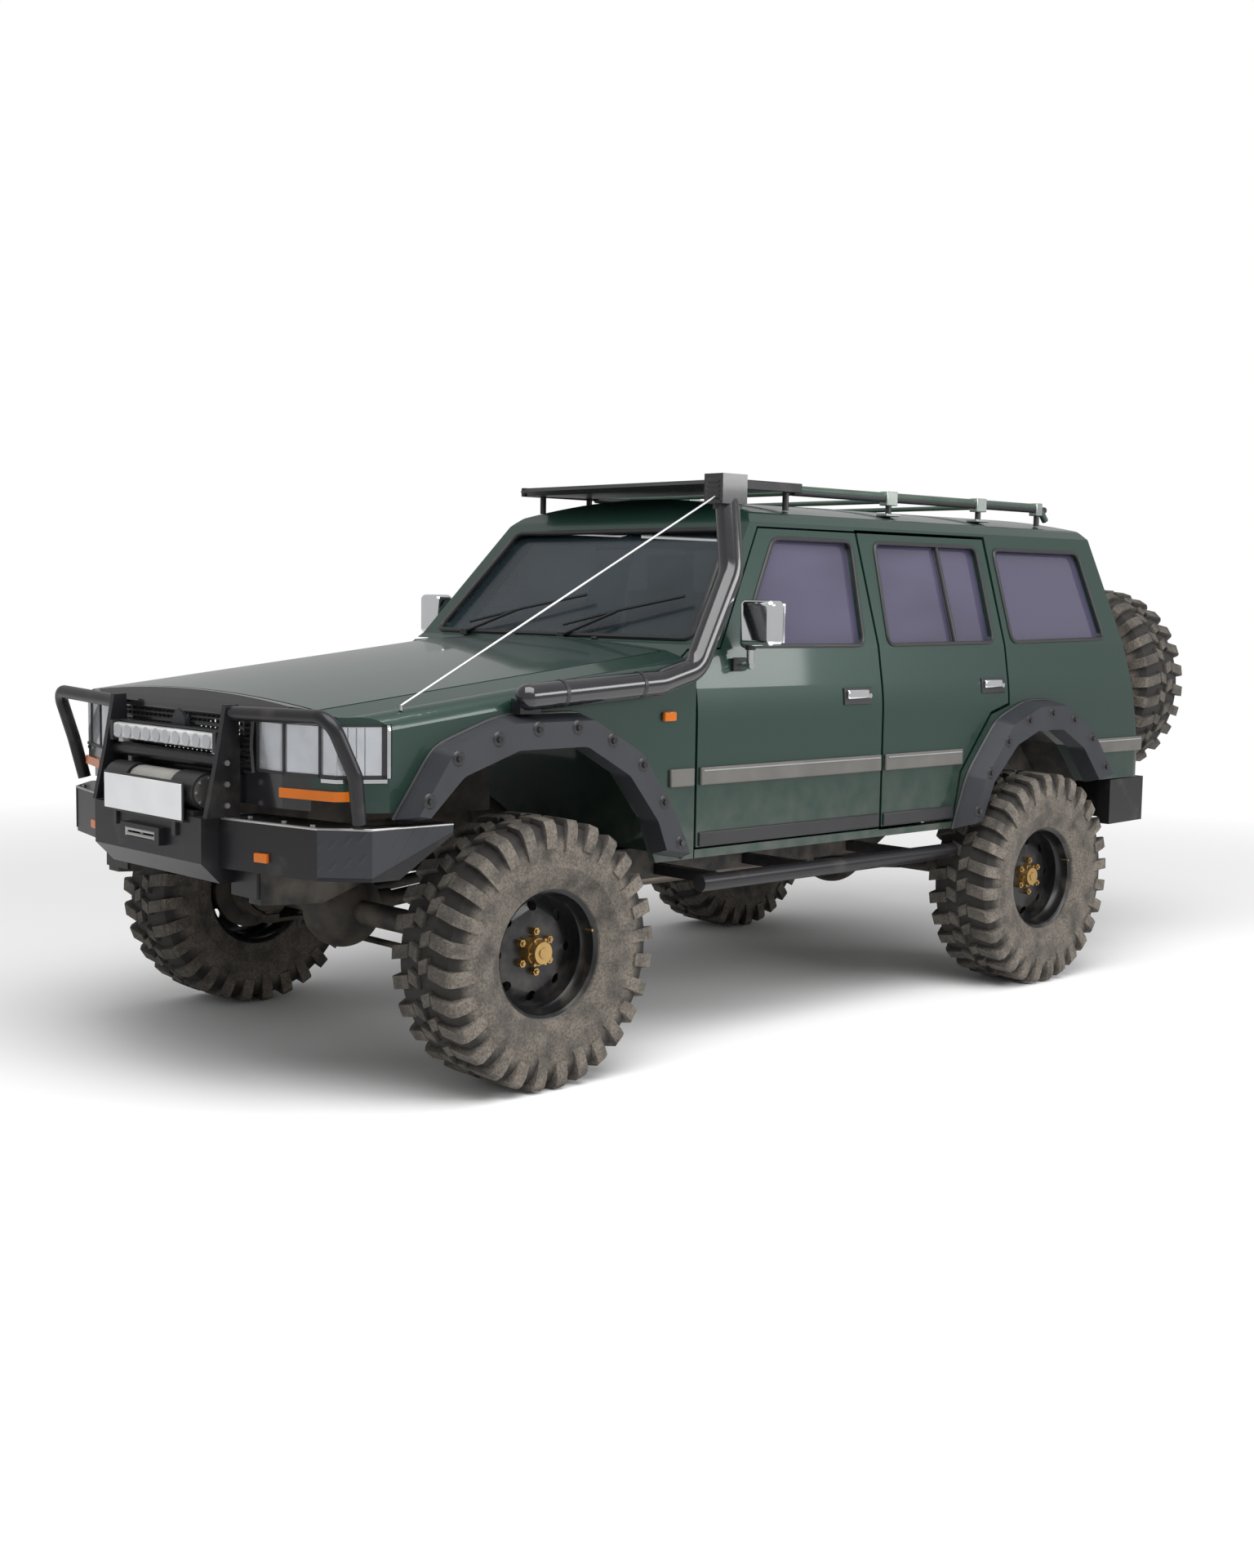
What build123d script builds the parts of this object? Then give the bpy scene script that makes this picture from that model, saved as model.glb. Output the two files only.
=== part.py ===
from build123d import *
import math
import os

# Lifted off-road estate car, five doors, separate ladder frame and live axles.
# Millimetres. While it is built, y runs rearwards from the front axle, x to the
# vehicle's left and z up from the ground; save() moves the origin to mid-length.

os.makedirs("parts", exist_ok=True)

# Wheels and axles
wheelbase = 2850
track = 1803
tyre_radius = 462
tyre_width = 327
tread_groove = 19
lug_count = 20
rim_radius = 230
rim_width = 246
seat_radius = 215.7
kingpin_inset = 201.5
steer_arm = 150
axle_tube_r = 45
ball_r = 85
spindle_r = 32
running_gap = 0.3
seat_gap = 0.3

# Cabin
cab_front = 800
half_width = 900
belt_half = 866
gutter_half = 722
sill_z = 705
waist_z = 1265
belt_z = 1475
gutter_z = 1955
roof_z = 2062
waist_r = 800
belt_r = 70
screen_r = 110
arch_r = 60
cowl_y = 885
screen_top_y = 1262
wall = 60
glass_thick = 6
glass_depth = 22
rear_overhang = 985
rear_lean = 12.5
corner_r = 100
b_seam = 1880
rear_seam = wheelbase - 125
gap = 8
latch_gap = 13

# Nose
nose_front = -790
nose_half = 890
bonnet_half = 735
bonnet_front_z = 1318
bonnet_slope = 0.115
bonnet_thick = 26
fender_drop = 62

# Ladder frame
rail_x = 440
rail_width = 70
floor_thick = 20
floor_z = 705
load_floor_z = 850

# Ends
winch_front = -955
spare_x = 420
spare_z = 1270
spare_back = 1030
tail_high = 849

lug_half_share = 0.24
axle_z = tyre_radius * math.cos(lug_half_share * 2 * math.pi / lug_count)
kingpin_x = track / 2 - kingpin_inset
rear_y = wheelbase + rear_overhang
lean_tan = math.tan(math.radians(rear_lean))
spare_front = wheelbase + spare_back
spare_y = spare_front + tyre_width / 2
end_rear = spare_front + tyre_width
y_mid = (winch_front + end_rear) / 2


# Helpers
def save(name, shape):
    export_step(Pos(0, -y_mid, 0) * shape, "parts/" + name + ".step")


def outline(points, r=0):
    face = Polygon(*points, align=None)
    if r > 0:
        face = fillet(face.vertices(), r)
    return face


def prism_x(face, x0, x1):
    plane = Plane(origin=(x0, 0, 0), x_dir=(0, 1, 0), z_dir=(1, 0, 0))
    return extrude(plane * face, amount=x1 - x0, dir=(1, 0, 0))


def prism_y(face, y0, y1, slope=0):
    plane = Plane(origin=(0, y0, 0), x_dir=(1, 0, 0), z_dir=(0, -1, 0))
    return extrude(plane * face, amount=(y1 - y0) * math.hypot(1, slope), dir=(0, 1, slope))


def prism_z(face, z0, z1):
    return extrude(Pos(0, 0, z0) * face, amount=z1 - z0, dir=(0, 0, 1))


def box(x0, x1, y0, y1, z0, z1):
    return Pos((x0 + x1) / 2, (y0 + y1) / 2, (z0 + z1) / 2) * Box(x1 - x0, y1 - y0, z1 - z0)


def rod_x(r, x0, x1, y, z):
    return Pos((x0 + x1) / 2, y, z) * Rot(0, 90, 0) * Cylinder(r, x1 - x0)


def rod_y(r, y0, y1, x, z):
    return Pos(x, (y0 + y1) / 2, z) * Rot(90, 0, 0) * Cylinder(r, y1 - y0)


def rod_z(r, z0, z1, x, y):
    return Pos(x, y, (z0 + z1) / 2) * Cylinder(r, z1 - z0)


def tube(points, bends, r):
    path = FilletPolyline(*points, radius=bends) if len(points) > 2 else Line(*points)
    return sweep(Plane(path @ 0, z_dir=path % 0) * Circle(r), path=path)


def mirrored(shape):
    return mirror(shape, about=Plane.YZ)


def both(shape):
    return shape + mirrored(shape)


def ngon_x(r, sides, x):
    plane = Plane(origin=(x, 0, 0), x_dir=(0, 1, 0), z_dir=(1, 0, 0))
    return plane * RegularPolygon(r, sides, major_radius=True)


def drum_x(r, sides, x0, x1):
    return extrude(ngon_x(r, sides, x0), amount=x1 - x0, dir=(1, 0, 0))


def cone_x(r0, r1, sides, x0, x1):
    return loft([ngon_x(r0, sides, x0), ngon_x(r1, sides, x1)], ruled=True)


# Tyre: two rings of shoulder lugs, half a pitch apart, round a plain carcass
def lug_ring(tip, root, x, turn):
    pitch = 2 * math.pi / lug_count
    points = []
    for i in range(lug_count):
        for part, r in ((-0.30, root), (-0.26, tip), (0.26, tip), (0.30, root)):
            a = (i + part + turn) * pitch
            points.append((r * math.cos(a), r * math.sin(a)))
    plane = Plane(origin=(x, 0, 0), x_dir=(0, 1, 0), z_dir=(1, 0, 0))
    return plane * Polygon(*points, align=None)


def tyre():
    root = tyre_radius - tread_groove
    side = tyre_width / 2
    shoulder = side - 26
    centre = 7
    bore = seat_radius + running_gap
    body = drum_x(root, lug_count, -centre, centre)
    for sign, turn in ((1, 0), (-1, 0.5)):
        tread = lug_ring(tyre_radius, root, sign * centre, turn)
        body += extrude(tread, amount=shoulder - centre, dir=(sign, 0, 0))
        inner = lug_ring(tyre_radius, root, sign * shoulder, turn)
        outer = lug_ring(tyre_radius - 24, root - 42, sign * side, turn)
        body += loft([inner, outer], ruled=True)
        body -= cone_x(244, 345, lug_count, sign * (rim_width / 2 - 11), sign * (side + 1))
    return body - drum_x(bore, lug_count, -side - 1, side + 1)


# Wheel: rolled barrel with two flanges, a windowed disc, its hub and brake disc
def rim(with_hub=True):
    edge = rim_width / 2
    flange = edge - 11
    seat = flange + seat_gap
    body = drum_x(seat_radius, lug_count, -seat, seat)
    body += drum_x(rim_radius, 2 * lug_count, seat, edge)
    body += drum_x(rim_radius, 2 * lug_count, -edge, -seat)
    body -= drum_x(seat_radius - 15, 2 * lug_count, -edge - 1, 18)
    body -= drum_x(seat_radius - 15, 2 * lug_count, 30, edge + 1)
    body -= cone_x(118, 186, 2 * lug_count, 22, 31)
    windows = [Pos(0, 158 * math.cos(a), 158 * math.sin(a)) * Rot(math.degrees(a), 0, 0) * Box(60, 22, 42)
               for a in [i * math.pi / 4 for i in range(8)]]
    for window in windows:
        body -= window
    body += cone_x(66, 50, 2 * lug_count, 20, 92)
    if with_hub:
        body += drum_x(66, 2 * lug_count, -64, 20)
        body += drum_x(165, 2 * lug_count, -64, -40)
        body -= rod_x(spindle_r + running_gap, -66, 60, 0, 0)
    else:
        body -= rod_x(56 / 2, -66, 60, 0, 0)
    return body


tyre_solid = tyre()
rim_solid = rim()
wheel_places = {
    # name: side, y
    "front_left": (1, 0),
    "front_right": (-1, 0),
    "rear_left": (1, wheelbase),
    "rear_right": (-1, wheelbase),
}
for name, (side, y) in wheel_places.items():
    for part, solid in (("tyre_", tyre_solid), ("rim_", rim_solid)):
        placed = Pos(track / 2, y, axle_z) * solid
        save(part + name, placed if side > 0 else mirrored(placed))
spare_turn = Pos(spare_x, spare_y, spare_z) * Rot(0, 0, 90)
save("spare_tyre", spare_turn * tyre_solid)
save("spare_rim", spare_turn * rim(False))

# Front knuckles: an open cup round the axle's ball, a spindle and a steering arm
cup_r = ball_r + 27
spindle_end = track / 2 + 58
pole = Rot(0, 90, 0)
knuckle = rod_x(cup_r, kingpin_x + 18, kingpin_x + ball_r + 20, 0, axle_z)
for z0, z1 in ((axle_z - cup_r - 14, axle_z - ball_r - 8), (axle_z + ball_r + 8, axle_z + cup_r + 14)):
    knuckle += box(kingpin_x - 28, kingpin_x + 60, -28, 28, z0, z1)
knuckle -= Pos(kingpin_x, 0, axle_z) * pole * Sphere(ball_r + 6)
knuckle += rod_x(spindle_r, kingpin_x + ball_r + 12, spindle_end, 0, axle_z)
arm_z = axle_z - cup_r
knuckle += box(kingpin_x - 15, kingpin_x + 15, 20, steer_arm, arm_z - 14, arm_z)
knuckle += rod_z(22, arm_z - 14, arm_z, kingpin_x, steer_arm)
knuckle -= rod_z(16 + running_gap, axle_z - cup_r - 20, axle_z + cup_r + 20, kingpin_x, 0)
save("knuckle_left", knuckle)
save("knuckle_right", mirrored(knuckle))
rod_low = arm_z - 14 - seat_gap
tie_rod = rod_x(13, -kingpin_x + 10, kingpin_x - 10, steer_arm, rod_low - 18)
tie_rod += both(rod_z(20, rod_low - 34, rod_low, kingpin_x, steer_arm))
save("tie_rod", tie_rod)

# Live axles
spring_x = 575
arm_x = 400
arm_reach = 870
diff_x = -190
front_axle = rod_x(axle_tube_r, -kingpin_x, kingpin_x, 0, axle_z)
front_axle += both(Pos(kingpin_x, 0, axle_z) * pole * Sphere(ball_r))
front_axle += both(rod_z(16, axle_z - cup_r - 12, axle_z + cup_r + 12, kingpin_x, 0))
front_axle += Pos(diff_x, 0, axle_z) * Sphere(150)
front_axle += rod_y(45, 100, 215, diff_x, axle_z + 10)
front_axle += both(rod_z(75, axle_z + 30, axle_z + 62, spring_x, 0))
front_axle += both(box(spring_x - 40, spring_x + 40, -70, 70, axle_z + 10, axle_z + 32))
save("front_axle", front_axle)
rear_axle = rod_x(axle_tube_r, -track / 2 + 70, track / 2 - 70, wheelbase, axle_z)
rear_axle += both(rod_x(spindle_r, track / 2 - 75, spindle_end, wheelbase, axle_z))
rear_axle += Pos(diff_x, wheelbase, axle_z) * Sphere(160)
rear_axle += rod_y(45, wheelbase - 230, wheelbase - 100, diff_x, axle_z + 10)
rear_axle += both(rod_z(75, axle_z + 30, axle_z + 62, spring_x, wheelbase))
rear_axle += both(box(spring_x - 40, spring_x + 40, wheelbase - 70, wheelbase + 70, axle_z + 10, axle_z + 32))
save("rear_axle", rear_axle)

# Ladder frame: two rails that rise over the axles, cross members and body mounts
rail_side = outline([
    (-800, 640), (-560, 625), (-330, 700), (260, 700), (560, 570), (wheelbase - 560, 570),
    (wheelbase - 300, 715), (wheelbase + 350, 715), (rear_y - 60, 690),
    (rear_y - 60, 800), (wheelbase + 350, 838), (wheelbase - 350, 838), (wheelbase - 610, 695),
    (600, 695), (330, 815), (-330, 815), (-560, 745), (-800, 745),
])
frame = both(prism_x(rail_side, rail_x, rail_x + rail_width))
cross_table = (
    # y, z, radius
    (-500, 690, 38), (1470, 632, 38), (wheelbase - 640, 635, 38),
    (wheelbase + 240, 775, 38), (rear_y - 110, 745, 38),
)
for y, z, r in cross_table:
    frame += rod_x(r, -rail_x - 20, rail_x + 20, y, z)
for y, ends in ((0, 700), (wheelbase, 715)):
    frame += both(box(rail_x + 20, spring_x + 66, y - 66, y + 66, ends + 40, ends + 60))
for y in (arm_reach + 22.8, wheelbase - arm_reach - 22.8):
    frame += both(box(arm_x - 28, rail_x + 20, y - 20, y + 20, 505, 600))
mount_table = (900, 1480, wheelbase - 700)
for y in mount_table:
    frame += both(rod_z(32, 690, floor_z - seat_gap, rail_x + rail_width / 2, y))
for y in (wheelbase - 250, wheelbase + 300, rear_y - 200):
    frame += both(rod_z(32, 770, load_floor_z - seat_gap, rail_x + rail_width / 2, y))
save("ladder_frame", frame)

# Suspension: coil springs, dampers and trailing arms, at rest height
spring_low = axle_z + 62 + seat_gap
links = Part()
for y, seat in ((0, 740), (wheelbase, 755)):
    links += both(rod_z(58, spring_low, seat - seat_gap, spring_x, y))
for y, sign in ((0, 1), (wheelbase, -1)):
    low = (arm_x, y + sign * (axle_tube_r + 4), axle_z)
    high = (arm_x, y + sign * arm_reach, 540)
    links += both(tube([low, high], None, 24))
save("suspension", links)

# Engine, one plain block with its sump, and the gearboxes and shafts behind it
engine = box(-290, 290, -470, 330, 860, 1120) + box(-190, 190, -430, 300, 1120, 1190)
engine += box(-170, 170, -300, 330, 720, 860) + both(box(160, rail_x - seat_gap, -80, 20, 770, 812))
save("engine_block", engine)
drive = loft([Plane.XZ.offset(-330 - seat_gap) * Pos(0, 830) * Circle(190),
              Plane.XZ.offset(-640) * Pos(0, 720) * Circle(95)], ruled=True)
drive += rod_y(95, 635, 1150, 0, 605)
drive += box(-260, 120, 1150, 1420, 470, 690)
drive_shafts = tube([(diff_x, 218.3, axle_z + 12), (diff_x, 1146.7, 560)], None, 32)
drive_shafts += tube([(diff_x, 1423.3, 560), (diff_x, wheelbase - 233.3, axle_z + 12)], None, 36)
save("drivetrain", drive + drive_shafts)

# Exhaust and fuel tank
exhaust = tube([(230, 500, 640), (230, 700, 520), (230, 2000, 520)], [90], 32)
exhaust += rod_y(72, 1540, 1980, 230, 520) + rod_z(8, 540, 594 - seat_gap, 230, 1470)
save("exhaust", exhaust)
tank_top = load_floor_z - seat_gap
tank = outline([(-300, 600), (300, 600), (330, 660), (330, tank_top), (-330, tank_top), (-330, 660)], 40)
save("fuel_tank", prism_y(tank, wheelbase + 290, rear_y - 160))

# Cabin hull: side, front and plan outlines, each pulled in by the same depth
shoulder_z = gutter_z + 38
cabin_side = outline([
    (cab_front, sill_z), (cab_front, belt_z - 45), (cowl_y, belt_z + 15), (screen_top_y, gutter_z + 12),
    (screen_top_y + 120, roof_z + 8), (rear_y - lean_tan * (roof_z - sill_z) - 40, roof_z + 8),
    (rear_y - lean_tan * (gutter_z - sill_z), gutter_z), (rear_y, sill_z),
])
roof_arc = ThreePointArc((-gutter_half + 45, shoulder_z), (0, roof_z), (gutter_half - 45, shoulder_z))
side_line = [(gutter_half - 45, shoulder_z), (gutter_half, gutter_z), (belt_half, belt_z),
             (half_width, waist_z), (half_width, sill_z), (-half_width, sill_z),
             (-half_width, waist_z), (-belt_half, belt_z), (-gutter_half, gutter_z),
             (-gutter_half + 45, shoulder_z)]
cabin_front = make_face(Curve() + [roof_arc, Polyline(*side_line)])


def vertices_near(face, y, z, reach=2):
    return [v for v in face.vertices() if abs(abs(v.X) - abs(y)) < reach and abs(v.Y - z) < reach]


def rounded(points, r):
    # Rounds an arch outline everywhere but at its two feet
    face = outline(points)
    return fillet([v for point in points[1:-1] for v in vertices_near(face, *point)], r)


cabin_front = fillet(vertices_near(cabin_front, half_width, waist_z), waist_r)
cabin_front = fillet(vertices_near(cabin_front, belt_half, belt_z), belt_r)
cabin_front = fillet(vertices_near(cabin_front, gutter_half - 45, shoulder_z), 50)
cabin_side = fillet(vertices_near(cabin_side, screen_top_y, gutter_z + 12), screen_r)
cabin_side = fillet(vertices_near(cabin_side, screen_top_y + 120, roof_z + 8), screen_r)
cabin_plan = outline([(-half_width, cab_front), (half_width, cab_front), (half_width, rear_y), (-half_width, rear_y)])
rear_corners = cabin_plan.vertices().sort_by(Axis.Y)[-2:]
cabin_plan = fillet(rear_corners, corner_r)


def cabin_hull(depth):
    side, front, plan = [face if depth == 0 else offset(face, -depth, kind=Kind.INTERSECTION)
                         for face in (cabin_side, cabin_front, cabin_plan)]
    hull = prism_x(side, -half_width - 1, half_width + 1)
    hull &= prism_y(front, cab_front - 10, rear_y + 10)
    hull &= prism_z(plan, sill_z - 10, roof_z + 10)
    return hull


hull = cabin_hull(0)
skin = hull - cabin_hull(wall)
skin -= box(-half_width + wall, half_width - wall, cab_front + wall, rear_y, sill_z - 5, sill_z + wall + 5)
glass_skin = cabin_hull(glass_depth) - cabin_hull(glass_depth + glass_thick)

# Side outlines, as (y, z): doors, windows and wheel arches
pillar_tan = (screen_top_y + 38 - (cowl_y + 73)) / (gutter_z - 15 - belt_z)
door_front = cab_front + 12
door_top = gutter_z - 25
front_door_side = [
    (door_front, sill_z + 40), (door_front, belt_z - 15), (cowl_y + 73, belt_z - 5),
    (cowl_y + 73 + pillar_tan * (door_top - belt_z), door_top),
    (b_seam - latch_gap, door_top), (b_seam - latch_gap, sill_z + 40),
]
flare_rear_outer = [
    (wheelbase - 500, 700), (wheelbase - 410, 930), (wheelbase - 210, 1160), (wheelbase - 10, 1232),
    (wheelbase + 200, 1232), (wheelbase + 420, 1110), (wheelbase + 630, 866),
]
flare_rear_inner = [
    (wheelbase - 425, 700), (wheelbase - 330, 900), (wheelbase - 170, 1050), (wheelbase - 20, 1105),
    (wheelbase + 165, 1105), (wheelbase + 335, 1015), (wheelbase + 490, 840),
]
flare_front_outer = [(-560, 942), (-400, 1170), (-130, 1262), (230, 1262), (470, 1130), (640, 900), (735, 712)]
flare_front_inner = [(-497, 930), (-340, 1075), (-110, 1150), (190, 1150), (390, 1040), (530, 870), (600, 700)]
rear_door_side = [
    (b_seam, sill_z + 40), (wheelbase - 500, sill_z + 40), (wheelbase - 455, 945), (wheelbase - 250, 1190),
    (rear_seam, 1225), (rear_seam, door_top), (b_seam, door_top),
]
front_window = [
    (1060, belt_z + 5), (1060 + pillar_tan * (door_top - 40 - belt_z), door_top - 35),
    (b_seam - 52, door_top - 35), (b_seam - 95, belt_z + 5),
]
rear_window = [
    (b_seam + 60, belt_z + 5), (b_seam + 95, door_top - 35), (rear_seam - 62, door_top - 35),
    (rear_seam - 70, belt_z + 12),
]
quarter_window = [
    (wheelbase - 62, belt_z + 12), (wheelbase - 62, door_top - 40), (wheelbase + 590, door_top - 40),
    (wheelbase + 660, belt_z + 25),
]


def grown(points, d, r=0):
    return offset(outline(points, r), d, kind=Kind.INTERSECTION)


def side_cut(face):
    return prism_x(face, gutter_half - 140, half_width + 40)


# Doors and their glass
# The hinge side of the front doors stands clear of the bulkhead behind it
door_clear = 14
swing_room = 6


def inboard(margin):
    # The space inboard of a side wall that is thicker by the margin, also ahead of the cabin
    low = box(0, half_width - wall - margin, cab_front - 5, cab_front + 2 * wall, 0, waist_z)
    return Pos(0, -2.5 * wall, 0) * cabin_hull(wall + margin) + low


door_table = {
    # name: door outline, window outline
    "front": (front_door_side, front_window),
    "rear": (rear_door_side, rear_window),
}
openings = Part()
for name, (door_points, window_points) in door_table.items():
    door = skin & side_cut(outline(door_points))
    door -= inboard(0)
    door -= side_cut(outline(window_points, 28))
    pane = glass_skin & side_cut(grown(window_points, -seat_gap, 28))
    opening = side_cut(grown(door_points, gap if name == "front" else latch_gap))
    openings += opening - inboard(door_clear)
    for side, shape in (("left", lambda s: s), ("right", mirrored)):
        save("door_" + name + "_" + side, shape(door))
        save("door_glass_" + name + "_" + side, shape(pane))

# The rear door's upper corner swings back as it opens
openings += side_cut(outline([(rear_seam, belt_z), (rear_seam + latch_gap, belt_z),
                              (rear_seam + latch_gap + swing_room, door_top + latch_gap),
                              (rear_seam, door_top + latch_gap)]))

# Rear doors: outlines in the leaning rear plane, x across and s up the slope
lean = math.radians(rear_lean)
rear_normal = (0, math.cos(lean), math.sin(lean))
rear_plane = Plane(origin=(0, rear_y, sill_z), x_dir=(-1, 0, 0), z_dir=rear_normal)
rear_low = 175
rear_top = (door_top - 5 - sill_z) / math.cos(lean)
rear_waist = (waist_z - sill_z) / math.cos(lean)
hinge_edge = half_width - corner_r
rear_split = -75
split_gap = 12


def rear_cut(points, r=0, d=0):
    face = outline([(-x, s) for x, s in points], r)
    if d != 0:
        face = offset(face, d, kind=Kind.INTERSECTION)
    return extrude(rear_plane * face, amount=130, dir=rear_normal, both=True)


def rear_outline(x0, side):
    edge = [(hinge_edge, rear_low), (hinge_edge, rear_waist + 60), (hinge_edge - 45, rear_waist + 300),
            (hinge_edge - 150, rear_top)]
    return [(x0, rear_low)] + [(side * x, s) for x, s in edge] + [(x0, rear_top)]


left_outline = rear_outline(rear_split, 1)
right_outline = rear_outline(rear_split - split_gap, -1)
window_low = (belt_z + 15 - sill_z) / math.cos(lean)
window_top = rear_top - 62
left_window = [(rear_split + 55, window_low), (hinge_edge - 95, window_low),
               (hinge_edge - 185, window_top), (rear_split + 55, window_top)]
right_window = [(rear_split - split_gap - 55, window_low), (-hinge_edge + 95, window_low),
                (-hinge_edge + 185, window_top), (rear_split - split_gap - 55, window_top)]
rear_opening = rear_cut(left_outline, 0, gap) + rear_cut(right_outline, 0, gap)
rear_opening += rear_cut([(-200, rear_low - gap), (200, rear_low - gap), (200, rear_top + gap), (-200, rear_top + gap)])
rear_left = skin & rear_cut(left_outline) - rear_cut(left_window, 28)
rear_left += rod_y(48, rear_y - lean_tan * (spare_z - sill_z) - 20, spare_y + 18 - seat_gap, spare_x, spare_z)
save("rear_door_left", rear_left)
save("rear_door_right", skin & rear_cut(right_outline) - rear_cut(right_window, 28))
save("rear_glass_left", glass_skin & rear_cut(left_window, 28, -seat_gap))
save("rear_glass_right", glass_skin & rear_cut(right_window, 28, -seat_gap))

# Body shell: what is left round the doors, split into sides, roof and cowl
screen = [(-775, belt_z + 30), (775, belt_z + 30), (640, gutter_z - 30), (-640, gutter_z - 30)]
screen_cut = prism_y(outline(screen, 30), cab_front, screen_top_y + 150)
arch_rear = grown(flare_rear_inner, gap)
arch_low = [(wheelbase - 433, 600), (rear_y + 20, 600), (rear_y + 20, tail_high), (wheelbase + 450, tail_high),
            (wheelbase + 300, 950), (wheelbase - 433, 720)]
quarter_cut = side_cut(outline(quarter_window, 28))
shell = skin - both(openings) - rear_opening - screen_cut - both(quarter_cut)
shell -= both(side_cut(arch_rear)) + both(side_cut(outline(arch_low)))
shell -= box(-half_width, half_width, wheelbase + 600, rear_y + 20, 600, tail_high)
roof_zone = box(-900, 900, 0, rear_y, gutter_z, roof_z + 20)
roof_zone += box(-560, 560, 0, rear_y, belt_z + 200, gutter_z + 5)
cowl_zone = box(-(half_width - wall), half_width - wall, 0, cab_front + wall, 0, belt_z - 45)
cowl_zone += box(-(half_width - 130), half_width - 130, 0, screen_top_y, belt_z - 80, belt_z + 40)
save("roof_panel", shell & roof_zone)
save("bulkhead", shell & cowl_zone)
pillar_side = [(b_seam - 85, sill_z + 1), (b_seam + 75, sill_z + 1), (b_seam + 60, belt_z),
               (b_seam + 35, gutter_z), (b_seam - 40, gutter_z), (b_seam - 65, belt_z)]
pillar = (cabin_hull(wall + 10) - cabin_hull(wall + 45)) & side_cut(outline(pillar_side))
ties = (cabin_hull(wall - 2) - cabin_hull(wall + 40)) & (
    box(400, 900, b_seam - 60, b_seam + 50, sill_z + 2, sill_z + 30)
    + box(400, 900, b_seam - 35, b_seam + 30, door_top + gap + 1, gutter_z - 1))
body_side = shell - roof_zone - cowl_zone
body_side -= box(-900, 900, cab_front - 5, cab_front + 6, 0, belt_z - 20)
body_side &= box(300, half_width + 1, 0, rear_y + 5, 0, roof_z)
body_side += pillar + ties
# Rubber stops and strikers that the closed doors rest against
for y0, y1, z in ((b_seam - 70, b_seam - 45, 1030), (rear_seam - 30, rear_seam + 45, 1310)):
    body_side += (cabin_hull(wall + seat_gap) - cabin_hull(wall + 22)) & box(700, 900, y0, y1, z, z + 50)
body_side += (cabin_hull(wall - 2) - cabin_hull(wall + 22)) & box(700, 900, rear_seam + latch_gap + 2, rear_seam + 45, 1310, 1360)
corner_stop = box(hinge_edge - 22, 900, rear_y - 300, rear_y, 1000, 1060)
body_side += (cabin_hull(wall + seat_gap) - cabin_hull(wall + 22)) & corner_stop
body_side += (cabin_hull(wall - 2) - cabin_hull(wall + 22)) & corner_stop & box(hinge_edge + 12, 900, 0, rear_y, 0, 2000)
save("body_side_left", body_side)
save("body_side_right", mirrored(body_side))
fixed_glass = glass_skin & prism_y(offset(outline(screen, 30), -seat_gap), cab_front, screen_top_y + 150)
fixed_glass += both(glass_skin & side_cut(grown(quarter_window, -seat_gap, 28)))
save("fixed_glass", fixed_glass)

# Floor with its step up over the rear axle and the rear wheel houses
floor_edge = half_width - wall - 5
floor_side = [
    (cab_front + wall + seat_gap, floor_z), (wheelbase - 640, floor_z), (wheelbase - 560, load_floor_z),
    (rear_y - 110, load_floor_z), (rear_y - 110, load_floor_z + floor_thick),
    (wheelbase - 572, load_floor_z + floor_thick), (wheelbase - 652, floor_z + floor_thick),
    (cab_front + wall + seat_gap, floor_z + floor_thick),
]
house_x = 620
house_out = grown(flare_rear_inner, 40)
house_in = grown(flare_rear_inner, 18)
floor = prism_x(outline(floor_side), -floor_edge, floor_edge)
floor -= both(prism_x(house_out, house_x - 20, floor_edge + 5))
house = prism_x(house_out, house_x - 20, floor_edge) - prism_x(house_in, house_x, floor_edge + 5)
house &= box(0, 900, wheelbase - 560, wheelbase + 560, load_floor_z - 5, 1400)
floor += both(house)
save("floor_pan", floor)

# Cabin fittings
dash = prism_x(outline([(cab_front + wall + seat_gap, 1120), (1060, 1150), (1130, 1290), (1075, 1420), (920, 1415), (cab_front + wall + seat_gap, 1360)], 18), -760, 760)
column_plane = Plane(origin=(-370, 1270, 1345), x_dir=(1, 0, 0), z_dir=(0, 0.86, 0.51))
ring = extrude(column_plane * (Circle(190) - Circle(166)), amount=24)
ring += extrude(column_plane * Circle(48), amount=26)
ring += extrude(column_plane * (Rectangle(350, 26)), amount=18)
ring += extrude(column_plane * Circle(24), amount=-215)
save("dashboard", dash + ring)
seat_table = (
    # x0, x1, y of the cushion's front, length, floor height, back height
    (165, 650, 1340, 480, floor_z + floor_thick, 640),
    (-590, 590, 2320, 470, load_floor_z + floor_thick, 560),
)
seats = Part()
for x0, x1, y, length, low, back in seat_table:
    top = low + 330
    cushion = prism_x(outline([(y, top - 120), (y + length, top - 130), (y + length, top - 20), (y + 30, top)], 24), x0, x1)
    cushion += box(x0 + 60, x1 - 60, y + 60, y + length - 40, low + seat_gap, top - 110)
    rest = prism_x(outline([(y + length - 40, top - 110), (y + length + 130, top - 110), (y + length + 190, top + back),
                            (y + length + 90, top + back)], 24), x0 + 8, x1 - 8)
    piece = cushion + rest
    seats += both(piece) if x0 > 0 else piece
save("seats", seats)

# Nose: a crowned section run along the bonnet's slope, cut to the plan and front
nose_rear = cab_front - seat_gap


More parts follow.
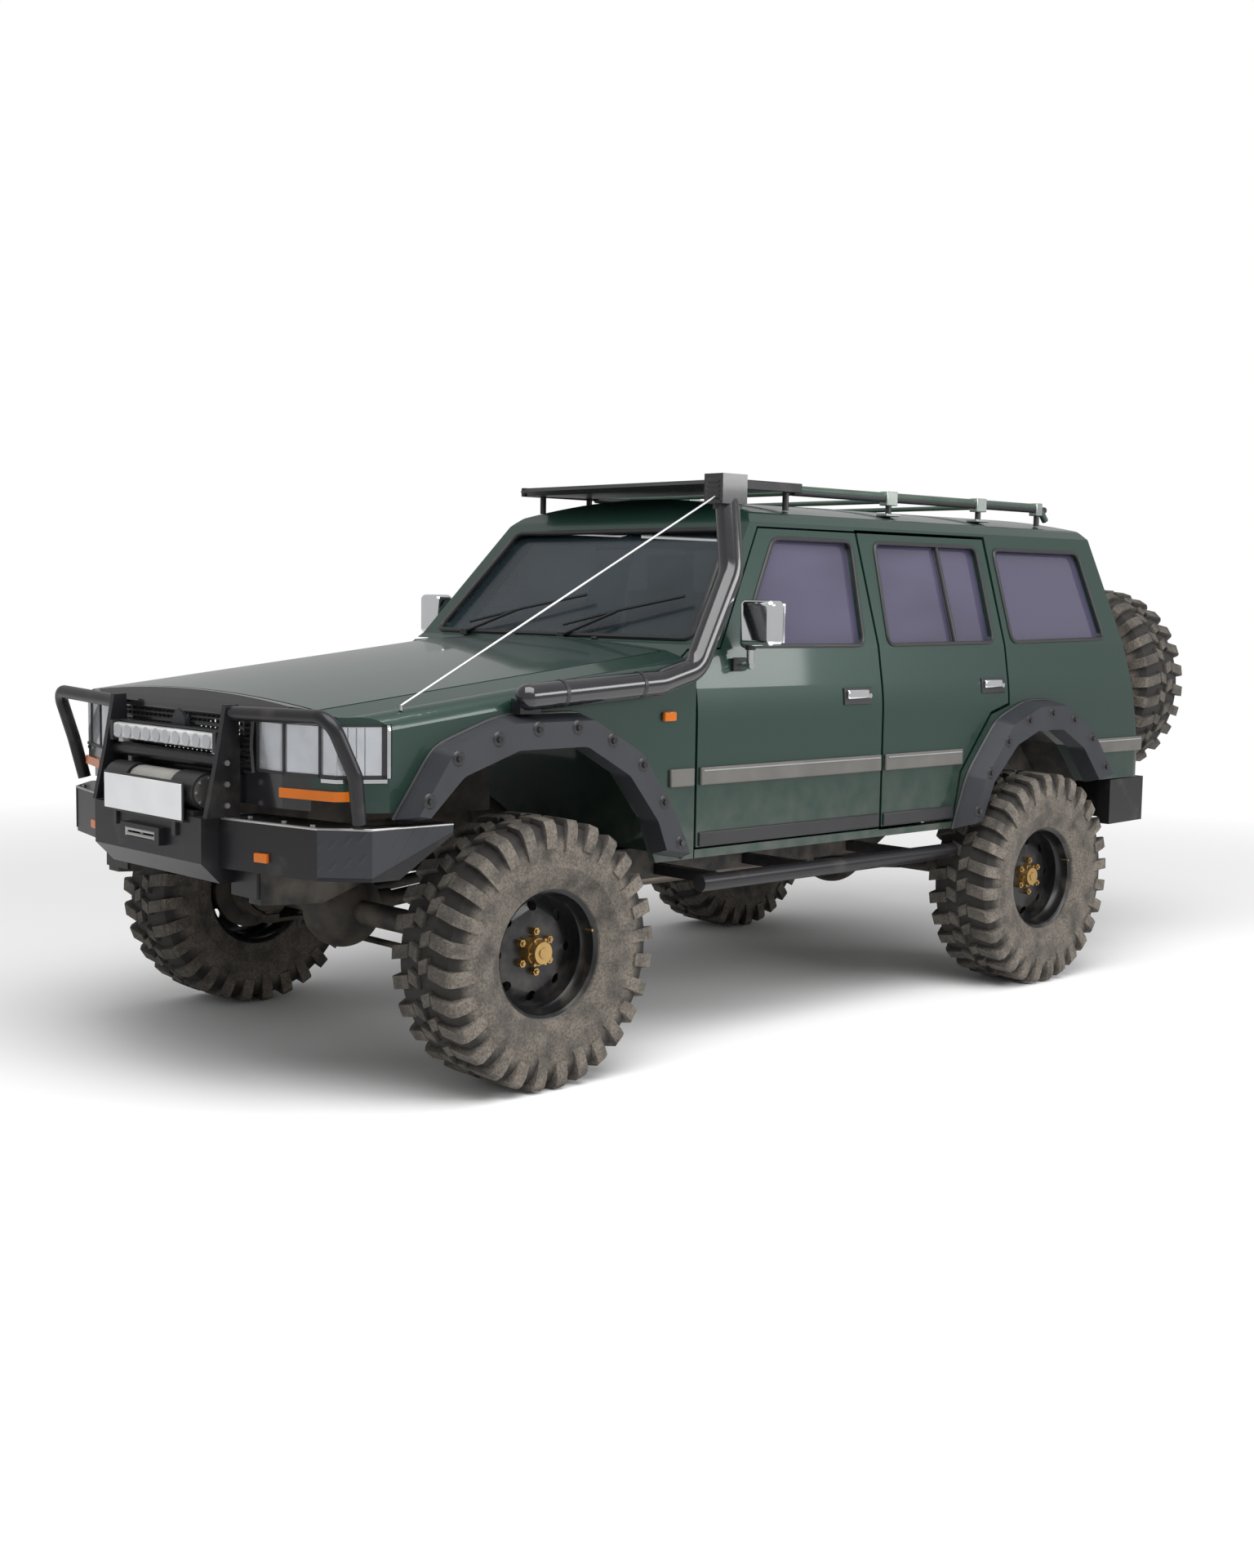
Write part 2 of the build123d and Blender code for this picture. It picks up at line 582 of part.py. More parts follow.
def nose_hull(depth):
    ref = nose_front - 110
    top = bonnet_front_z - 110 * bonnet_slope
    edge = top - fender_drop
    ring = [Line((-half_width, 400), (half_width, 400)), Line((half_width, 400), (half_width, edge - 70)),
            ThreePointArc((half_width, edge - 70), (half_width - 18, edge - 18), (half_width - 65, edge)),
            Line((half_width - 65, edge), (bonnet_half, edge + 26)),
            ThreePointArc((bonnet_half, edge + 26), (0, top), (-bonnet_half, edge + 26)),
            Line((-bonnet_half, edge + 26), (-half_width + 65, edge)),
            ThreePointArc((-half_width + 65, edge), (-half_width + 18, edge - 18), (-half_width, edge - 70)),
            Line((-half_width, edge - 70), (-half_width, 400))]
    section = make_face(Curve() + ring)
    plan = outline([(-half_width, nose_rear), (-half_width, -570), (-820, -715), (-600, nose_front + 15),
                    (-300, nose_front), (300, nose_front), (600, nose_front + 15), (820, -715),
                    (half_width, -570), (half_width, nose_rear)])
    side = outline([(nose_front, 600), (nose_front, 1225), (nose_front + 22, 1290), (nose_front + 75, 1400),
                    (nose_rear, 1700), (nose_rear, 600)])
    if depth > 0:
        section, plan, side = [offset(face, -depth, kind=Kind.INTERSECTION) for face in (section, plan, side)]
    hull = prism_y(section, ref, cab_front + 50, bonnet_slope)
    return hull & prism_z(plan, sill_z, 1700) & prism_x(side, -half_width - 1, half_width + 1)


nose = nose_hull(0)
nose_skin = nose - nose_hull(bonnet_thick)
lamp_x = 468
lamp_low = 1075
lamp_high = 1246
lamp_back = -560
lid_front = nose_front + 55
lid_rear = nose_rear - bonnet_thick - gap
bonnet_zone = box(-bonnet_half, bonnet_half, lid_front, lid_rear, lamp_high + gap, 1700)
bonnet_hole = box(-bonnet_half - gap, bonnet_half + gap, lid_front - gap, lid_rear + gap, lamp_high, 1700)
save("bonnet", nose_skin & bonnet_zone)
lamp_hole = box(lamp_x, half_width + 5, nose_front - 5, lamp_back, lamp_low, lamp_high)
lamp_zone = box(lamp_x + seat_gap, half_width + 5, nose_front - 5, lamp_back - seat_gap, lamp_low + seat_gap,
                lamp_high - seat_gap)
save("headlamps", both((nose_hull(4) - nose_hull(60)) & lamp_zone))
front_zone = box(-bonnet_half - gap, bonnet_half + gap, nose_front - 5, lid_front - gap, 600, 1700)
grille_hole = box(-lamp_x + 30, lamp_x - 30, nose_front - 5, nose_front + 60, lamp_low, lamp_high)
body_front = nose_skin - bonnet_hole - both(lamp_hole)
panel = (body_front & front_zone) - grille_hole
panel -= box(-900, 900, nose_front - 5, nose_front + 60, 600, 965)
slat_count = 5
slat_pitch = (lamp_high - lamp_low) / slat_count
for i in range(slat_count - 1):
    z = lamp_low + slat_pitch * (i + 1)
    panel += box(-lamp_x + 28, lamp_x - 28, nose_front + 6, nose_front + 24, z - 7, z + 7)
save("grille", panel)
arch_front = grown(flare_front_inner, gap)
arch_front_low = [(-800, 600), (608, 600), (608, 705), (500, 900), (-480, 965), (-800, 965)]
fenders = body_front - front_zone
fenders -= both(side_cut(arch_front)) + both(side_cut(outline(arch_front_low)))
fenders -= box(-860, 860, nose_front - 5, -400, 600, 1000)
fenders -= box(-700, 700, 200, cab_front + 5, 600, 1180)
fenders &= box(-half_width - 1, half_width + 1, nose_front, nose_rear, sill_z - 1, 1700)
rest_hull = nose_hull(bonnet_thick + seat_gap)
tie_hull = nose_hull(bonnet_thick - 2)
for y in (-500, 560):
    fenders += both(rest_hull & box(bonnet_half - 30, bonnet_half + gap + 14, y - 20, y + 20, 1240, 1700))
    fenders += both(tie_hull & box(bonnet_half + gap, bonnet_half + gap + 14, y - 20, y + 20, 1240, 1700))
save("front_fenders", fenders)

# Wheel arch flares, bolted on round the arches
flare_x = half_width + seat_gap
flare_out = 92
flares = Part()
for outer, inner in ((flare_front_outer, flare_front_inner), (flare_rear_outer, flare_rear_inner)):
    plane = Plane(origin=(flare_x, 0, 0), x_dir=(0, 1, 0), z_dir=(1, 0, 0))
    outer_face, inner_face = [rounded(points, arch_r) for points in (outer, inner)]
    arch = extrude(plane * outer_face, amount=flare_out, dir=(1, 0, 0), taper=14)
    arch -= prism_x(inner_face, half_width - 5, half_width + 200)
    flares += both(arch)
save("flares", flares)

# Front bumper with its winch cradle, wings and bull bar
deck_low = 753
deck_high = 921
wing_plan = [(352, -865), (800, -775), (925, -655), (945, -350), (860, -350), (840, -600), (352, -700)]
wing_inner = [(364, -850), (795, -763), (913, -648), (933, -340), (872, -340), (852, -594), (364, -712)]
wing = prism_z(outline(wing_plan), deck_low, deck_high)
wing -= prism_z(outline(wing_inner), deck_low - 5, deck_high - 12)
wing &= prism_x(outline([(-960, 690), (-650, 690), (-350, 885), (-350, 960), (-960, 960)]), 0, 1000)
bumper = both(wing)
cradle = prism_x(outline([(-930, 770), (-860, 700), (-700, 700), (-700, 921), (-930, 921)]), -360, 360)
cradle -= prism_x(outline([(-915, 790), (-850, 715), (-690, 715), (-690, 930), (-915, 930)]), -345, 345)
bumper += cradle
bumper += both(box(rail_x + 5, rail_x + rail_width - 5, -802, -800 - seat_gap, 660, 740))
bumper += both(box(rail_x - 90, rail_x + rail_width - 5, -812, -800 - seat_gap, 660, 770))
bumper += box(-130, 130, winch_front, -928, 808, 867) - box(-100, 100, winch_front - 5, -890, 822, 852)
bumper -= box(-100, 100, winch_front - 5, -890, 822, 852)
save("front_bumper", bumper)
fin_side = [(-925, deck_high + seat_gap), (-798, deck_high + seat_gap), (-798, 1100), (-803, 1290),
            (-850, 1290), (-885, 1100)]
bar = both(prism_x(outline(fin_side), 362, 386))
hoop = tube([(386, -826, 1262), (900, -795, 1275), (928, -720, 1090), (905, -690, deck_high + 20)], [70, 60], 24)
bar += both(hoop)
bar += rod_x(24, -365, 365, -838, 1100)
save("bull_bar", bar)
save("light_bar", prism_x(outline([(-868, 1140), (-868, 1190), (-815, 1196), (-815, 1134)], 10), -350, 350)
     + both(box(300, 330, -852, -824, 1124.3, 1140)))
winch_y = -864
winch = rod_x(46, -150, 150, winch_y, 998) + both(rod_x(64, 150, 300, winch_y, 998))
winch += box(-300, 300, winch_y - 60, winch_y + 60, deck_high + seat_gap, deck_high + 18)
winch += both(box(150, 170, winch_y - 50, winch_y + 50, deck_high + 10, 985))
save("winch", winch)

# Rear bumper, sliders, snorkel, roof rack, cable and mirrors
tail = prism_z(outline([(-905, rear_y - 290), (-880, rear_y + 30), (880, rear_y + 30), (905, rear_y - 290),
                        (840, rear_y - 290), (815, rear_y - 55), (-815, rear_y - 55), (-840, rear_y - 290)]), 636, tail_high - 5)
tail -= box(-300, 300, rear_y + 10, rear_y + 40, 700, 800)
tail += both(box(rail_x - 12, rail_x + rail_width, rear_y - 60 + seat_gap, rear_y - 50, 695, 795))
# Tow hitch receiver under the middle of the rear bumper, with its cross pin hole
hitch_z = 606
hitch_socket = 51
hitch_wall = 6.5
hitch_pin_r = 8
hitch_half = hitch_socket / 2 + hitch_wall
hitch = box(-hitch_half, hitch_half, rear_y - 140, rear_y + 20, hitch_z - hitch_half, hitch_z + hitch_half)
hitch -= box(-hitch_socket / 2, hitch_socket / 2, rear_y - 150, rear_y + 30,
             hitch_z - hitch_socket / 2, hitch_z + hitch_socket / 2)
hitch -= rod_x(hitch_pin_r, -hitch_half - 5, hitch_half + 5, rear_y - 45, hitch_z)
save("rear_bumper", tail + hitch)
slider = rod_y(32, 850, wheelbase - 470, 885, 606)
for y in (1000, 1500, wheelbase - 700):
    slider += box(rail_x + rail_width + seat_gap, 880, y - 25, y + 25, 585, 625)
save("rock_sliders", both(slider))
snorkel_r = 46
snorkel_x = half_width + snorkel_r + 3
snorkel_pts = [(snorkel_x, -40, 1322), (snorkel_x, 560, 1358), (snorkel_x - 6, 750, 1405),
               (910, 962, 1757), (850, 990, 2030)]
snorkel = tube(snorkel_pts, [160, 120, 160], snorkel_r)
snorkel += box(half_width + seat_gap, snorkel_x, -75, 15, 1266, 1316)
snorkel += Pos(850, 985, 2060) * Box(96, 130, 110)
save("snorkel", snorkel)
rack_z = 2100
rack = Part()
tray_half = 620
tray = prism_x(outline([(1225, rack_z + 4), (1245, rack_z - 14), (1650, rack_z - 8), (1665, rack_z + 16), (1650, rack_z + 22),
                        (1640, rack_z + 6), (1260, rack_z + 6), (1240, rack_z + 20)]), -tray_half, tray_half)
rack += tray
rack += both(rod_y(15, 1640, wheelbase + 540, 590, rack_z - 12))
for y in (1330, 1600, 2250, 2880, wheelbase + 480):
    rack += both(rod_z(13, 2013, rack_z - 8, 590, y))
save("roof_rack", rack)
cable = tube([(862, -500, 1302), (862, 917, 2030)], None, 4)
cable += rod_z(6, 1287, 1305, 862, -500)
save("branch_cable", cable)
mirror_head = Pos(985, 1050, 1570) * Rot(0, 0, 8) * Box(150, 90, 170)
mirror_head = fillet(mirror_head.edges(), 22)
mirror_arm_z = 1412
mirror_arm_r = 14
belt_lean = (half_width - belt_half) / (belt_z - waist_z)
mirror_foot = half_width - belt_lean * (mirror_arm_z - mirror_arm_r - waist_z) + seat_gap
mirror_head += rod_z(mirror_arm_r, mirror_arm_z - 7, 1500, 940, 1040)
mirror_head += rod_x(mirror_arm_r, mirror_foot, 950, 1040, mirror_arm_z)
save("mirror_left", mirror_head)
save("mirror_right", mirrored(mirror_head))
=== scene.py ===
"""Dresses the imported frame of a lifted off-road estate car: paint, glass, tyres, trim, lamps and studio."""

import contextlib
import math

import bmesh
import bpy
from mathutils import Matrix, Vector


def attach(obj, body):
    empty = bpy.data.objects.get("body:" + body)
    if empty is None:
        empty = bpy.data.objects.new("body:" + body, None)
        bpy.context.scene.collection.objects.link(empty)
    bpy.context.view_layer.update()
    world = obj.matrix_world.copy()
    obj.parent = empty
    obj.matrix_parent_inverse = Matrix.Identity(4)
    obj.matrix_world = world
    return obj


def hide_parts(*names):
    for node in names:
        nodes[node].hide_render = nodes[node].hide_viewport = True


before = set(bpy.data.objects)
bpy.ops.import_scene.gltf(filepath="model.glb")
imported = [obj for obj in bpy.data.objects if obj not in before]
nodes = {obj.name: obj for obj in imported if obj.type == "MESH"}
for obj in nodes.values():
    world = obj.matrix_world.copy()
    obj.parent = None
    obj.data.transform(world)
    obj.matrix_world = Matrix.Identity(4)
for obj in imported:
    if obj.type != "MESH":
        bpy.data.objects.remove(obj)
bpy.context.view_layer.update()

bl_info = {
    "name": "Off-road estate car dressing",
    "version": (1, 0, 0),
    "blender": (4, 5, 0),
    "location": "View3D > Sidebar > Car",
    "description": "Builds the trim, tyres, lamps and studio round an off-road estate car",
    "category": "Object",
}

# Places along the car are measured from the front axle, and the frame's origin is this far behind it
AXLE_TO_ORIGIN = 1.626
WHEELBASE = 2.85
HALF_TRACK = 0.9015
AXLE_HEIGHT = 0.46069
SIDES = (("left", 1), ("right", -1))


def place(x, y, z):
    """A point given from the front axle, in the frame's own place."""
    return Vector((x, y - AXLE_TO_ORIGIN, z))


class CarFinish(bpy.types.PropertyGroup):
    """Colours of the car's main finishes"""

    paint: bpy.props.FloatVectorProperty(
        name="Body paint", description="Dark metallic green of the body", subtype="COLOR",
        size=3, min=0, max=1, default=(0.008, 0.029, 0.021))
    moulding: bpy.props.FloatVectorProperty(
        name="Side moulding", description="Grey-beige strip along the doors", subtype="COLOR",
        size=3, min=0, max=1, default=(0.105, 0.10, 0.092))
    flare: bpy.props.FloatVectorProperty(
        name="Arch flare", description="Textured plastic of the wheel arch flares", subtype="COLOR",
        size=3, min=0, max=1, default=(0.017, 0.019, 0.024))
    rubber: bpy.props.FloatVectorProperty(
        name="Tyre rubber", description="Clean rubber between the lugs", subtype="COLOR",
        size=3, min=0, max=1, default=(0.02, 0.019, 0.018))
    dust: bpy.props.FloatVectorProperty(
        name="Dust", description="Dry dust on the tyres and the underside", subtype="COLOR",
        size=3, min=0, max=1, default=(0.20, 0.172, 0.142))
    amber: bpy.props.FloatVectorProperty(
        name="Amber lens", description="Colour of the indicator lenses", subtype="COLOR",
        size=3, min=0, max=1, default=(0.66, 0.16, 0.008))
    tint: bpy.props.FloatVectorProperty(
        name="Window tint", description="Colour of the tinted side windows", subtype="COLOR",
        size=3, min=0, max=1, default=(0.075, 0.068, 0.115))


class CarTyre(bpy.types.PropertyGroup):
    """Sizes of the tyres and wheels"""

    radius: bpy.props.FloatProperty(
        name="Tyre radius", description="Radius over the lugs", default=0.4605, unit="LENGTH")
    width: bpy.props.FloatProperty(
        name="Tyre width", description="Width over the side lugs", default=0.326, unit="LENGTH")
    lugs: bpy.props.IntProperty(
        name="Lugs a side", description="Shoulder lugs on one side of a tyre", default=28, min=12)
    groove: bpy.props.FloatProperty(
        name="Groove depth", description="Height of the lugs above the carcass", default=0.019, unit="LENGTH")
    rim: bpy.props.FloatProperty(
        name="Rim radius", description="Radius over the wheel's outer lip", default=0.229, unit="LENGTH")


class CarStudio(bpy.types.PropertyGroup):
    """Light and camera of the studio"""

    key_power: bpy.props.FloatProperty(
        name="Key light", description="Power of the large lamp over the car", default=430, unit="POWER")
    side_power: bpy.props.FloatProperty(
        name="Side light", description="Power of the strip lamp beside the car", default=170, unit="POWER")
    world: bpy.props.FloatProperty(
        name="World light", description="Strength of the world's light on the car", default=0.55, min=0)
    lens: bpy.props.FloatProperty(
        name="Lens", description="Focal length of the camera", default=43.28, unit="CAMERA")


# Materials

SIDE_GLASS_ALPHA = 0.86


def fill(tree, node, inputs):
    """Gives each named input of a node its value, or a link where a socket is given."""
    for name, value in inputs.items():
        if isinstance(value, bpy.types.NodeSocket):
            tree.links.new(value, node.inputs[name])
        else:
            node.inputs[name].default_value = value


def add_node(tree, kind, inputs, **settings):
    """Adds a shader node with its settings and inputs."""
    node = tree.nodes.new("ShaderNode" + kind)
    for name, value in settings.items():
        setattr(node, name, value)
    fill(tree, node, inputs)
    return node


def new_material(name):
    """An empty node material with its Principled shader."""
    material = bpy.data.materials.new(name)
    material.use_nodes = True
    return material, material.node_tree, material.node_tree.nodes["Principled BSDF"]


def object_place(tree):
    """The shaded point in the object's own space."""
    return add_node(tree, "TexCoord", {}).outputs["Object"]


def coordinate(tree, axis):
    """One coordinate of the shaded point."""
    return add_node(tree, "SeparateXYZ", {"Vector": object_place(tree)}).outputs[axis]


def object_noise(tree, scale, detail=3.0, stretch=(1, 1, 1)):
    """A noise pattern in the object's own space."""
    where = add_node(tree, "Mapping", {"Vector": object_place(tree), "Scale": stretch}).outputs["Vector"]
    return add_node(tree, "TexNoise", {"Vector": where, "Scale": scale, "Detail": detail}).outputs["Fac"]


def ramp(tree, source, low, high, start=0.0, end=1.0):
    """A grey pattern stretched so that low becomes start and high becomes end."""
    inputs = {"Value": source, "From Min": low, "From Max": high, "To Min": start, "To Max": end}
    return add_node(tree, "MapRange", inputs).outputs["Result"]


def mixed(tree, factor, first, second):
    """Two colours mixed by a grey pattern."""
    colours = [c if isinstance(c, bpy.types.NodeSocket) else (*c, 1) for c in (first, second)]
    return add_node(tree, "Mix", {0: factor, 6: colours[0], 7: colours[1]}, data_type="RGBA").outputs[2]


def multiplied(tree, first, second):
    """The product of two grey patterns, held between 0 and 1."""
    return add_node(tree, "Math", {0: first, 1: second}, operation="MULTIPLY", use_clamp=True).outputs[0]


def grain(tree, scale, strength, distance=0.001, detail=3.0):
    """The normal of a fine bumpy surface."""
    bump = {"Strength": strength, "Distance": distance, "Height": object_noise(tree, scale, detail)}
    return add_node(tree, "Bump", bump).outputs["Normal"]


def finish_material(name, colour, roughness, metallic=0.0, coat=0.0, bumps=None, wear=0.12):
    """A plain finish whose tone and gloss vary a little over the surface."""
    material, tree, shader = new_material(name)
    pattern = object_noise(tree, 7.0)
    dark = [c * (1 - wear) for c in colour]
    light = [min(1, c * (1 + wear)) for c in colour]
    fill(tree, shader, {
        "Base Color": mixed(tree, ramp(tree, pattern, 0.35, 0.65), dark, light),
        "Roughness": ramp(tree, pattern, 0, 1, max(0.02, roughness * 0.85), min(1, roughness * 1.15)),
        "Metallic": metallic, "Coat Weight": coat, "Coat Roughness": 0.06,
    })
    if bumps:
        fill(tree, shader, {"Normal": grain(tree, *bumps)})
    return material


def dusty_material(name, colour, dust, roughness, metallic=0.0, low=0.42, high=0.62, amount=0.8, bumps=None):
    """A finish with dry dust lying on it in patches."""
    material, tree, shader = new_material(name)
    patches = multiplied(tree, ramp(tree, object_noise(tree, 9.0, 6.0), low, high), amount)
    fill(tree, shader, {
        "Base Color": mixed(tree, patches, colour, dust),
        "Roughness": ramp(tree, patches, 0, 1, roughness, 0.95),
        "Metallic": metallic,
    })
    if bumps:
        fill(tree, shader, {"Normal": grain(tree, *bumps)})
    return material


def body_paint(colour, dust):
    """Metallic paint under clear lacquer, with road dust low on the panels."""
    material, tree, shader = new_material("metallic_green_paint")
    flakes = ramp(tree, object_noise(tree, 900.0, 0.0), 0.35, 0.75)
    base = mixed(tree, multiplied(tree, flakes, 0.55), colour, [c * 1.7 for c in colour])
    film = ramp(tree, coordinate(tree, "Z"), 1.05, 0.68)
    film = multiplied(tree, film, ramp(tree, object_noise(tree, 11.0, 6.0), 0.35, 0.8))
    fill(tree, shader, {
        "Base Color": mixed(tree, multiplied(tree, film, 0.35), base, dust),
        "Metallic": 0.35, "Roughness": 0.38, "Coat Weight": 0.55, "Coat Roughness": 0.06,
    })
    return material


def window_glass(name, colour, alpha, tint=None):
    """Tinted glass, clearer ahead of the front seats where a second tint is given for the rest."""
    material, tree, shader = new_material(name)
    pattern = ramp(tree, object_noise(tree, 1.7, 2.0, (1, 0.6, 1.6)), 0.3, 0.75)
    glass = mixed(tree, pattern, [c * 0.7 for c in colour], [c * 1.35 for c in colour])
    if tint:
        behind = ramp(tree, coordinate(tree, "Y"), 0.49, 0.51)
        glass = mixed(tree, behind, glass, tint)
        alpha = ramp(tree, behind, 0, 1, alpha, SIDE_GLASS_ALPHA)
    fill(tree, shader, {
        "Base Color": glass, "Roughness": 0.03, "Alpha": alpha, "IOR": 1.52,
        "Coat Weight": 0.6, "Coat Roughness": 0.02,
    })
    return material


def clear_lens(name, colour, roughness=0.04, transmission=0.85):
    """Clear or coloured lamp plastic."""
    material, tree, shader = new_material(name)
    pattern = ramp(tree, object_noise(tree, 14.0), 0.3, 0.7)
    fill(tree, shader, {
        "Base Color": mixed(tree, pattern, [c * 0.94 for c in colour], colour),
        "Roughness": roughness, "Transmission Weight": transmission, "IOR": 1.49,
    })
    return material


def tyre_rubber(rubber, dust):
    """Rubber with dust on the side walls and the lug tops, and painted shade in the grooves, which stay
    nearly bare dark rubber.
    """
    material, tree, shader = new_material("dusty_tyre_rubber")
    patches = ramp(tree, object_noise(tree, 13.0, 8.0), 0.18, 0.60)
    fine = ramp(tree, object_noise(tree, 120.0, 4.0), 0.12, 0.62)
    film = multiplied(tree, multiplied(tree, patches, fine), 0.95)
    # The "dust" layer holds real dust on the walls and lug tops, and painted shade in the grooves
    reach = add_node(tree, "Attribute", {}, attribute_name="dust").outputs["Fac"]
    fill(tree, shader, {
        "Base Color": mixed(tree, multiplied(tree, film, reach), rubber, dust),
        "Roughness": 0.86, "Normal": grain(tree, 260.0, 0.35, 0.0008, 4.0),
    })
    return material


def tread_plate(name, colour):
    """Satin sheet with a raised diamond grip pattern."""
    material, tree, shader = new_material(name)
    waves = []
    for turn in (math.radians(45), math.radians(-45)):
        where = add_node(tree, "Mapping", {"Vector": object_place(tree), "Rotation": (0, turn, turn)})
        wave = add_node(tree, "TexWave", {"Vector": where.outputs["Vector"], "Scale": 9.0})
        waves.append(ramp(tree, wave.outputs["Fac"], 0.55, 0.95))
    bump = {"Strength": 0.6, "Distance": 0.0015, "Height": multiplied(tree, *waves)}
    fill(tree, shader, {
        "Base Color": (*colour, 1), "Metallic": 0.55, "Roughness": 0.42,
        "Normal": add_node(tree, "Bump", bump).outputs["Normal"],
    })
    return material


finishes = {}

# Plain finishes: material name, colour, roughness, metallic, coat, grain, wear
PLAIN = {
    "chrome": ("polished_chrome", (0.78, 0.79, 0.80), 0.07, 1.0, 0.0, None, 0.03),
    "gloss_black": ("gloss_black_plastic", (0.012, 0.012, 0.014), 0.16, 0.0, 0.5),
    "trim_black": ("satin_black_trim", (0.016, 0.016, 0.018), 0.42, 0.0, 0.0, (500.0, 0.12, 0.0004)),
    "reflector": ("lamp_reflector", (0.72, 0.73, 0.76), 0.16, 1.0, 0.0, None, 0.05),
    "pale_lens": ("pale_lamp_cover", (0.62, 0.63, 0.62), 0.22, 0.0, 0.5),
    "winch": ("winch_casting", (0.03, 0.03, 0.032), 0.4, 0.4, 0.0, (300.0, 0.2, 0.0006)),
    "alloy": ("rail_alloy", (0.42, 0.46, 0.43), 0.32, 0.9),
    "green_rail": ("rail_green", (0.05, 0.085, 0.065), 0.35, 0.3, 0.4),
    "cable": ("cable_wire", (0.5, 0.5, 0.5), 0.35, 0.9),
    "rope": ("winch_rope", (0.30, 0.29, 0.27), 0.7, 0.2, 0.0, (600.0, 0.5, 0.001)),
    "cloth": ("seat_cloth", (0.13, 0.125, 0.12), 0.95, 0.0, 0.0, (700.0, 0.5, 0.0008)),
    "cabin": ("cabin_plastic", (0.055, 0.053, 0.05), 0.7, 0.0, 0.0, (450.0, 0.25, 0.0006)),
    "plate": ("blank_plate", (0.80, 0.81, 0.82), 0.35, 0.0, 0.0, None, 0.03),
    "bare_steel": ("bare_steel", (0.45, 0.44, 0.43), 0.35, 0.9),
}

# Dusty finishes: material name, colour, roughness, metallic, dust from, dust to, dust share, grain
DUSTY = {
    "wheel": ("wheel_black", (0.012, 0.012, 0.013), 0.28, 0.3, 0.5, 0.8, 0.35),
    "brass": ("hub_brass", (0.42, 0.27, 0.10), 0.35, 0.9, 0.55, 0.9, 0.5),
    "bar_black": ("bar_black_paint", (0.014, 0.014, 0.016), 0.33, 0.35, 0.55, 0.85, 0.25),
    "under": ("underbody_black", (0.018, 0.018, 0.018), 0.55, 0.2, 0.4, 0.7, 0.55),
    "iron": ("axle_iron", (0.06, 0.055, 0.05), 0.6, 0.6, 0.38, 0.66, 0.7, (180.0, 0.3, 0.001)),
    "exhaust": ("exhaust_steel", (0.24, 0.20, 0.17), 0.45, 0.9, 0.45, 0.75, 0.5),
}


def mix_finishes(look):
    """Makes every finish of the car once, from the panel's colours."""
    dust = tuple(look.dust)
    tint = tuple(look.tint)
    for finish, values in PLAIN.items():
        finishes[finish] = finish_material(*values)
    for finish, (name, colour, *rest) in DUSTY.items():
        finishes[finish] = dusty_material(name, colour, dust, *rest)
    finishes.update(
        paint=body_paint(tuple(look.paint), dust),
        moulding=finish_material("side_moulding", tuple(look.moulding), 0.55),
        flare=finish_material("flare_plastic", tuple(look.flare), 0.5, bumps=(420.0, 0.25, 0.0006)),
        tyre=tyre_rubber(tuple(look.rubber), dust),
        side_glass=window_glass("tinted_side_glass", tint, SIDE_GLASS_ALPHA),
        screen_glass=window_glass("windscreen_glass", (0.03, 0.045, 0.055), 0.38, tint),
        bar_plate=tread_plate("tread_plate", (0.042, 0.045, 0.05)),
        lens=clear_lens("clear_lamp_lens", (0.92, 0.94, 0.96)),
        amber=clear_lens("amber_lens", tuple(look.amber), 0.12, 0.1),
        red=clear_lens("red_lens", (0.45, 0.01, 0.01), 0.12, 0.2),
    )


# Making and placing pieces

AXES = {"X": Vector((1, 0, 0)), "Y": Vector((0, 1, 0)), "Z": Vector((0, 0, 1))}
EASE_STEPS = 5
SHARP_ANGLE = 35
BEVEL_ANGLE = math.radians(40)
MERGE_REACH = 1e-6


def as_data(mesh, name, angle=SHARP_ANGLE):
    """Turns a bmesh into smooth mesh data whose corners past an angle stay sharp."""
    data = bpy.data.meshes.new(name)
    bmesh.ops.recalc_face_normals(mesh, faces=mesh.faces)
    mesh.to_mesh(data)
    mesh.free()
    data.shade_smooth()
    data.set_sharp_from_angle(angle=math.radians(angle))
    return data


def finished(name, data, finish, body, *replaced):
    """An object with its finish, which rides on a body of the car."""
    data.materials.clear()
    data.materials.append(finishes[finish])
    piece = bpy.data.objects.new(name, data)
    bpy.context.scene.collection.objects.link(piece)
    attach(piece, body)
    if replaced:
        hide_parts(*replaced)
    return piece


def add_piece(name, mesh, finish, body="root", *replaced, sign=1, bevel=0.0):
    """Turns a bmesh into a finished piece, on the car's other side where sign is negative."""
    if sign < 0:
        bmesh.ops.scale(mesh, vec=(-1, 1, 1), verts=mesh.verts)
        bmesh.ops.reverse_faces(mesh, faces=mesh.faces)
    bmesh.ops.remove_doubles(mesh, verts=mesh.verts, dist=MERGE_REACH)
    piece = finished(name, as_data(mesh, name), finish, body, *replaced)
    if bevel:
        edge = piece.modifiers.new("Soft edges", "BEVEL")
        edge.width = bevel
        edge.segments = 2
        edge.limit_method = "ANGLE"
        edge.angle_limit = BEVEL_ANGLE
    return piece


@contextlib.contextmanager
def made(*names, sign=1, bevel=0.0):
    """An empty mesh that is turned into a piece when its block ends."""
    mesh = bmesh.new()
    yield mesh
    name, finish, *rest = names
    add_piece(name, mesh, finish, *rest, sign=sign, bevel=bevel)


def block(mesh, low, high, turn=None):
    """Adds a box between two corners given from the front axle, turned about its middle if asked."""
    low, high = place(*low), place(*high)
    size = high - low
    matrix = Matrix.Translation((low + high) / 2)
    if turn is not None:
        matrix = matrix @ turn
    matrix = matrix @ Matrix.Diagonal((*size, 1))
    return bmesh.ops.create_cube(mesh, size=1, matrix=matrix)["verts"]


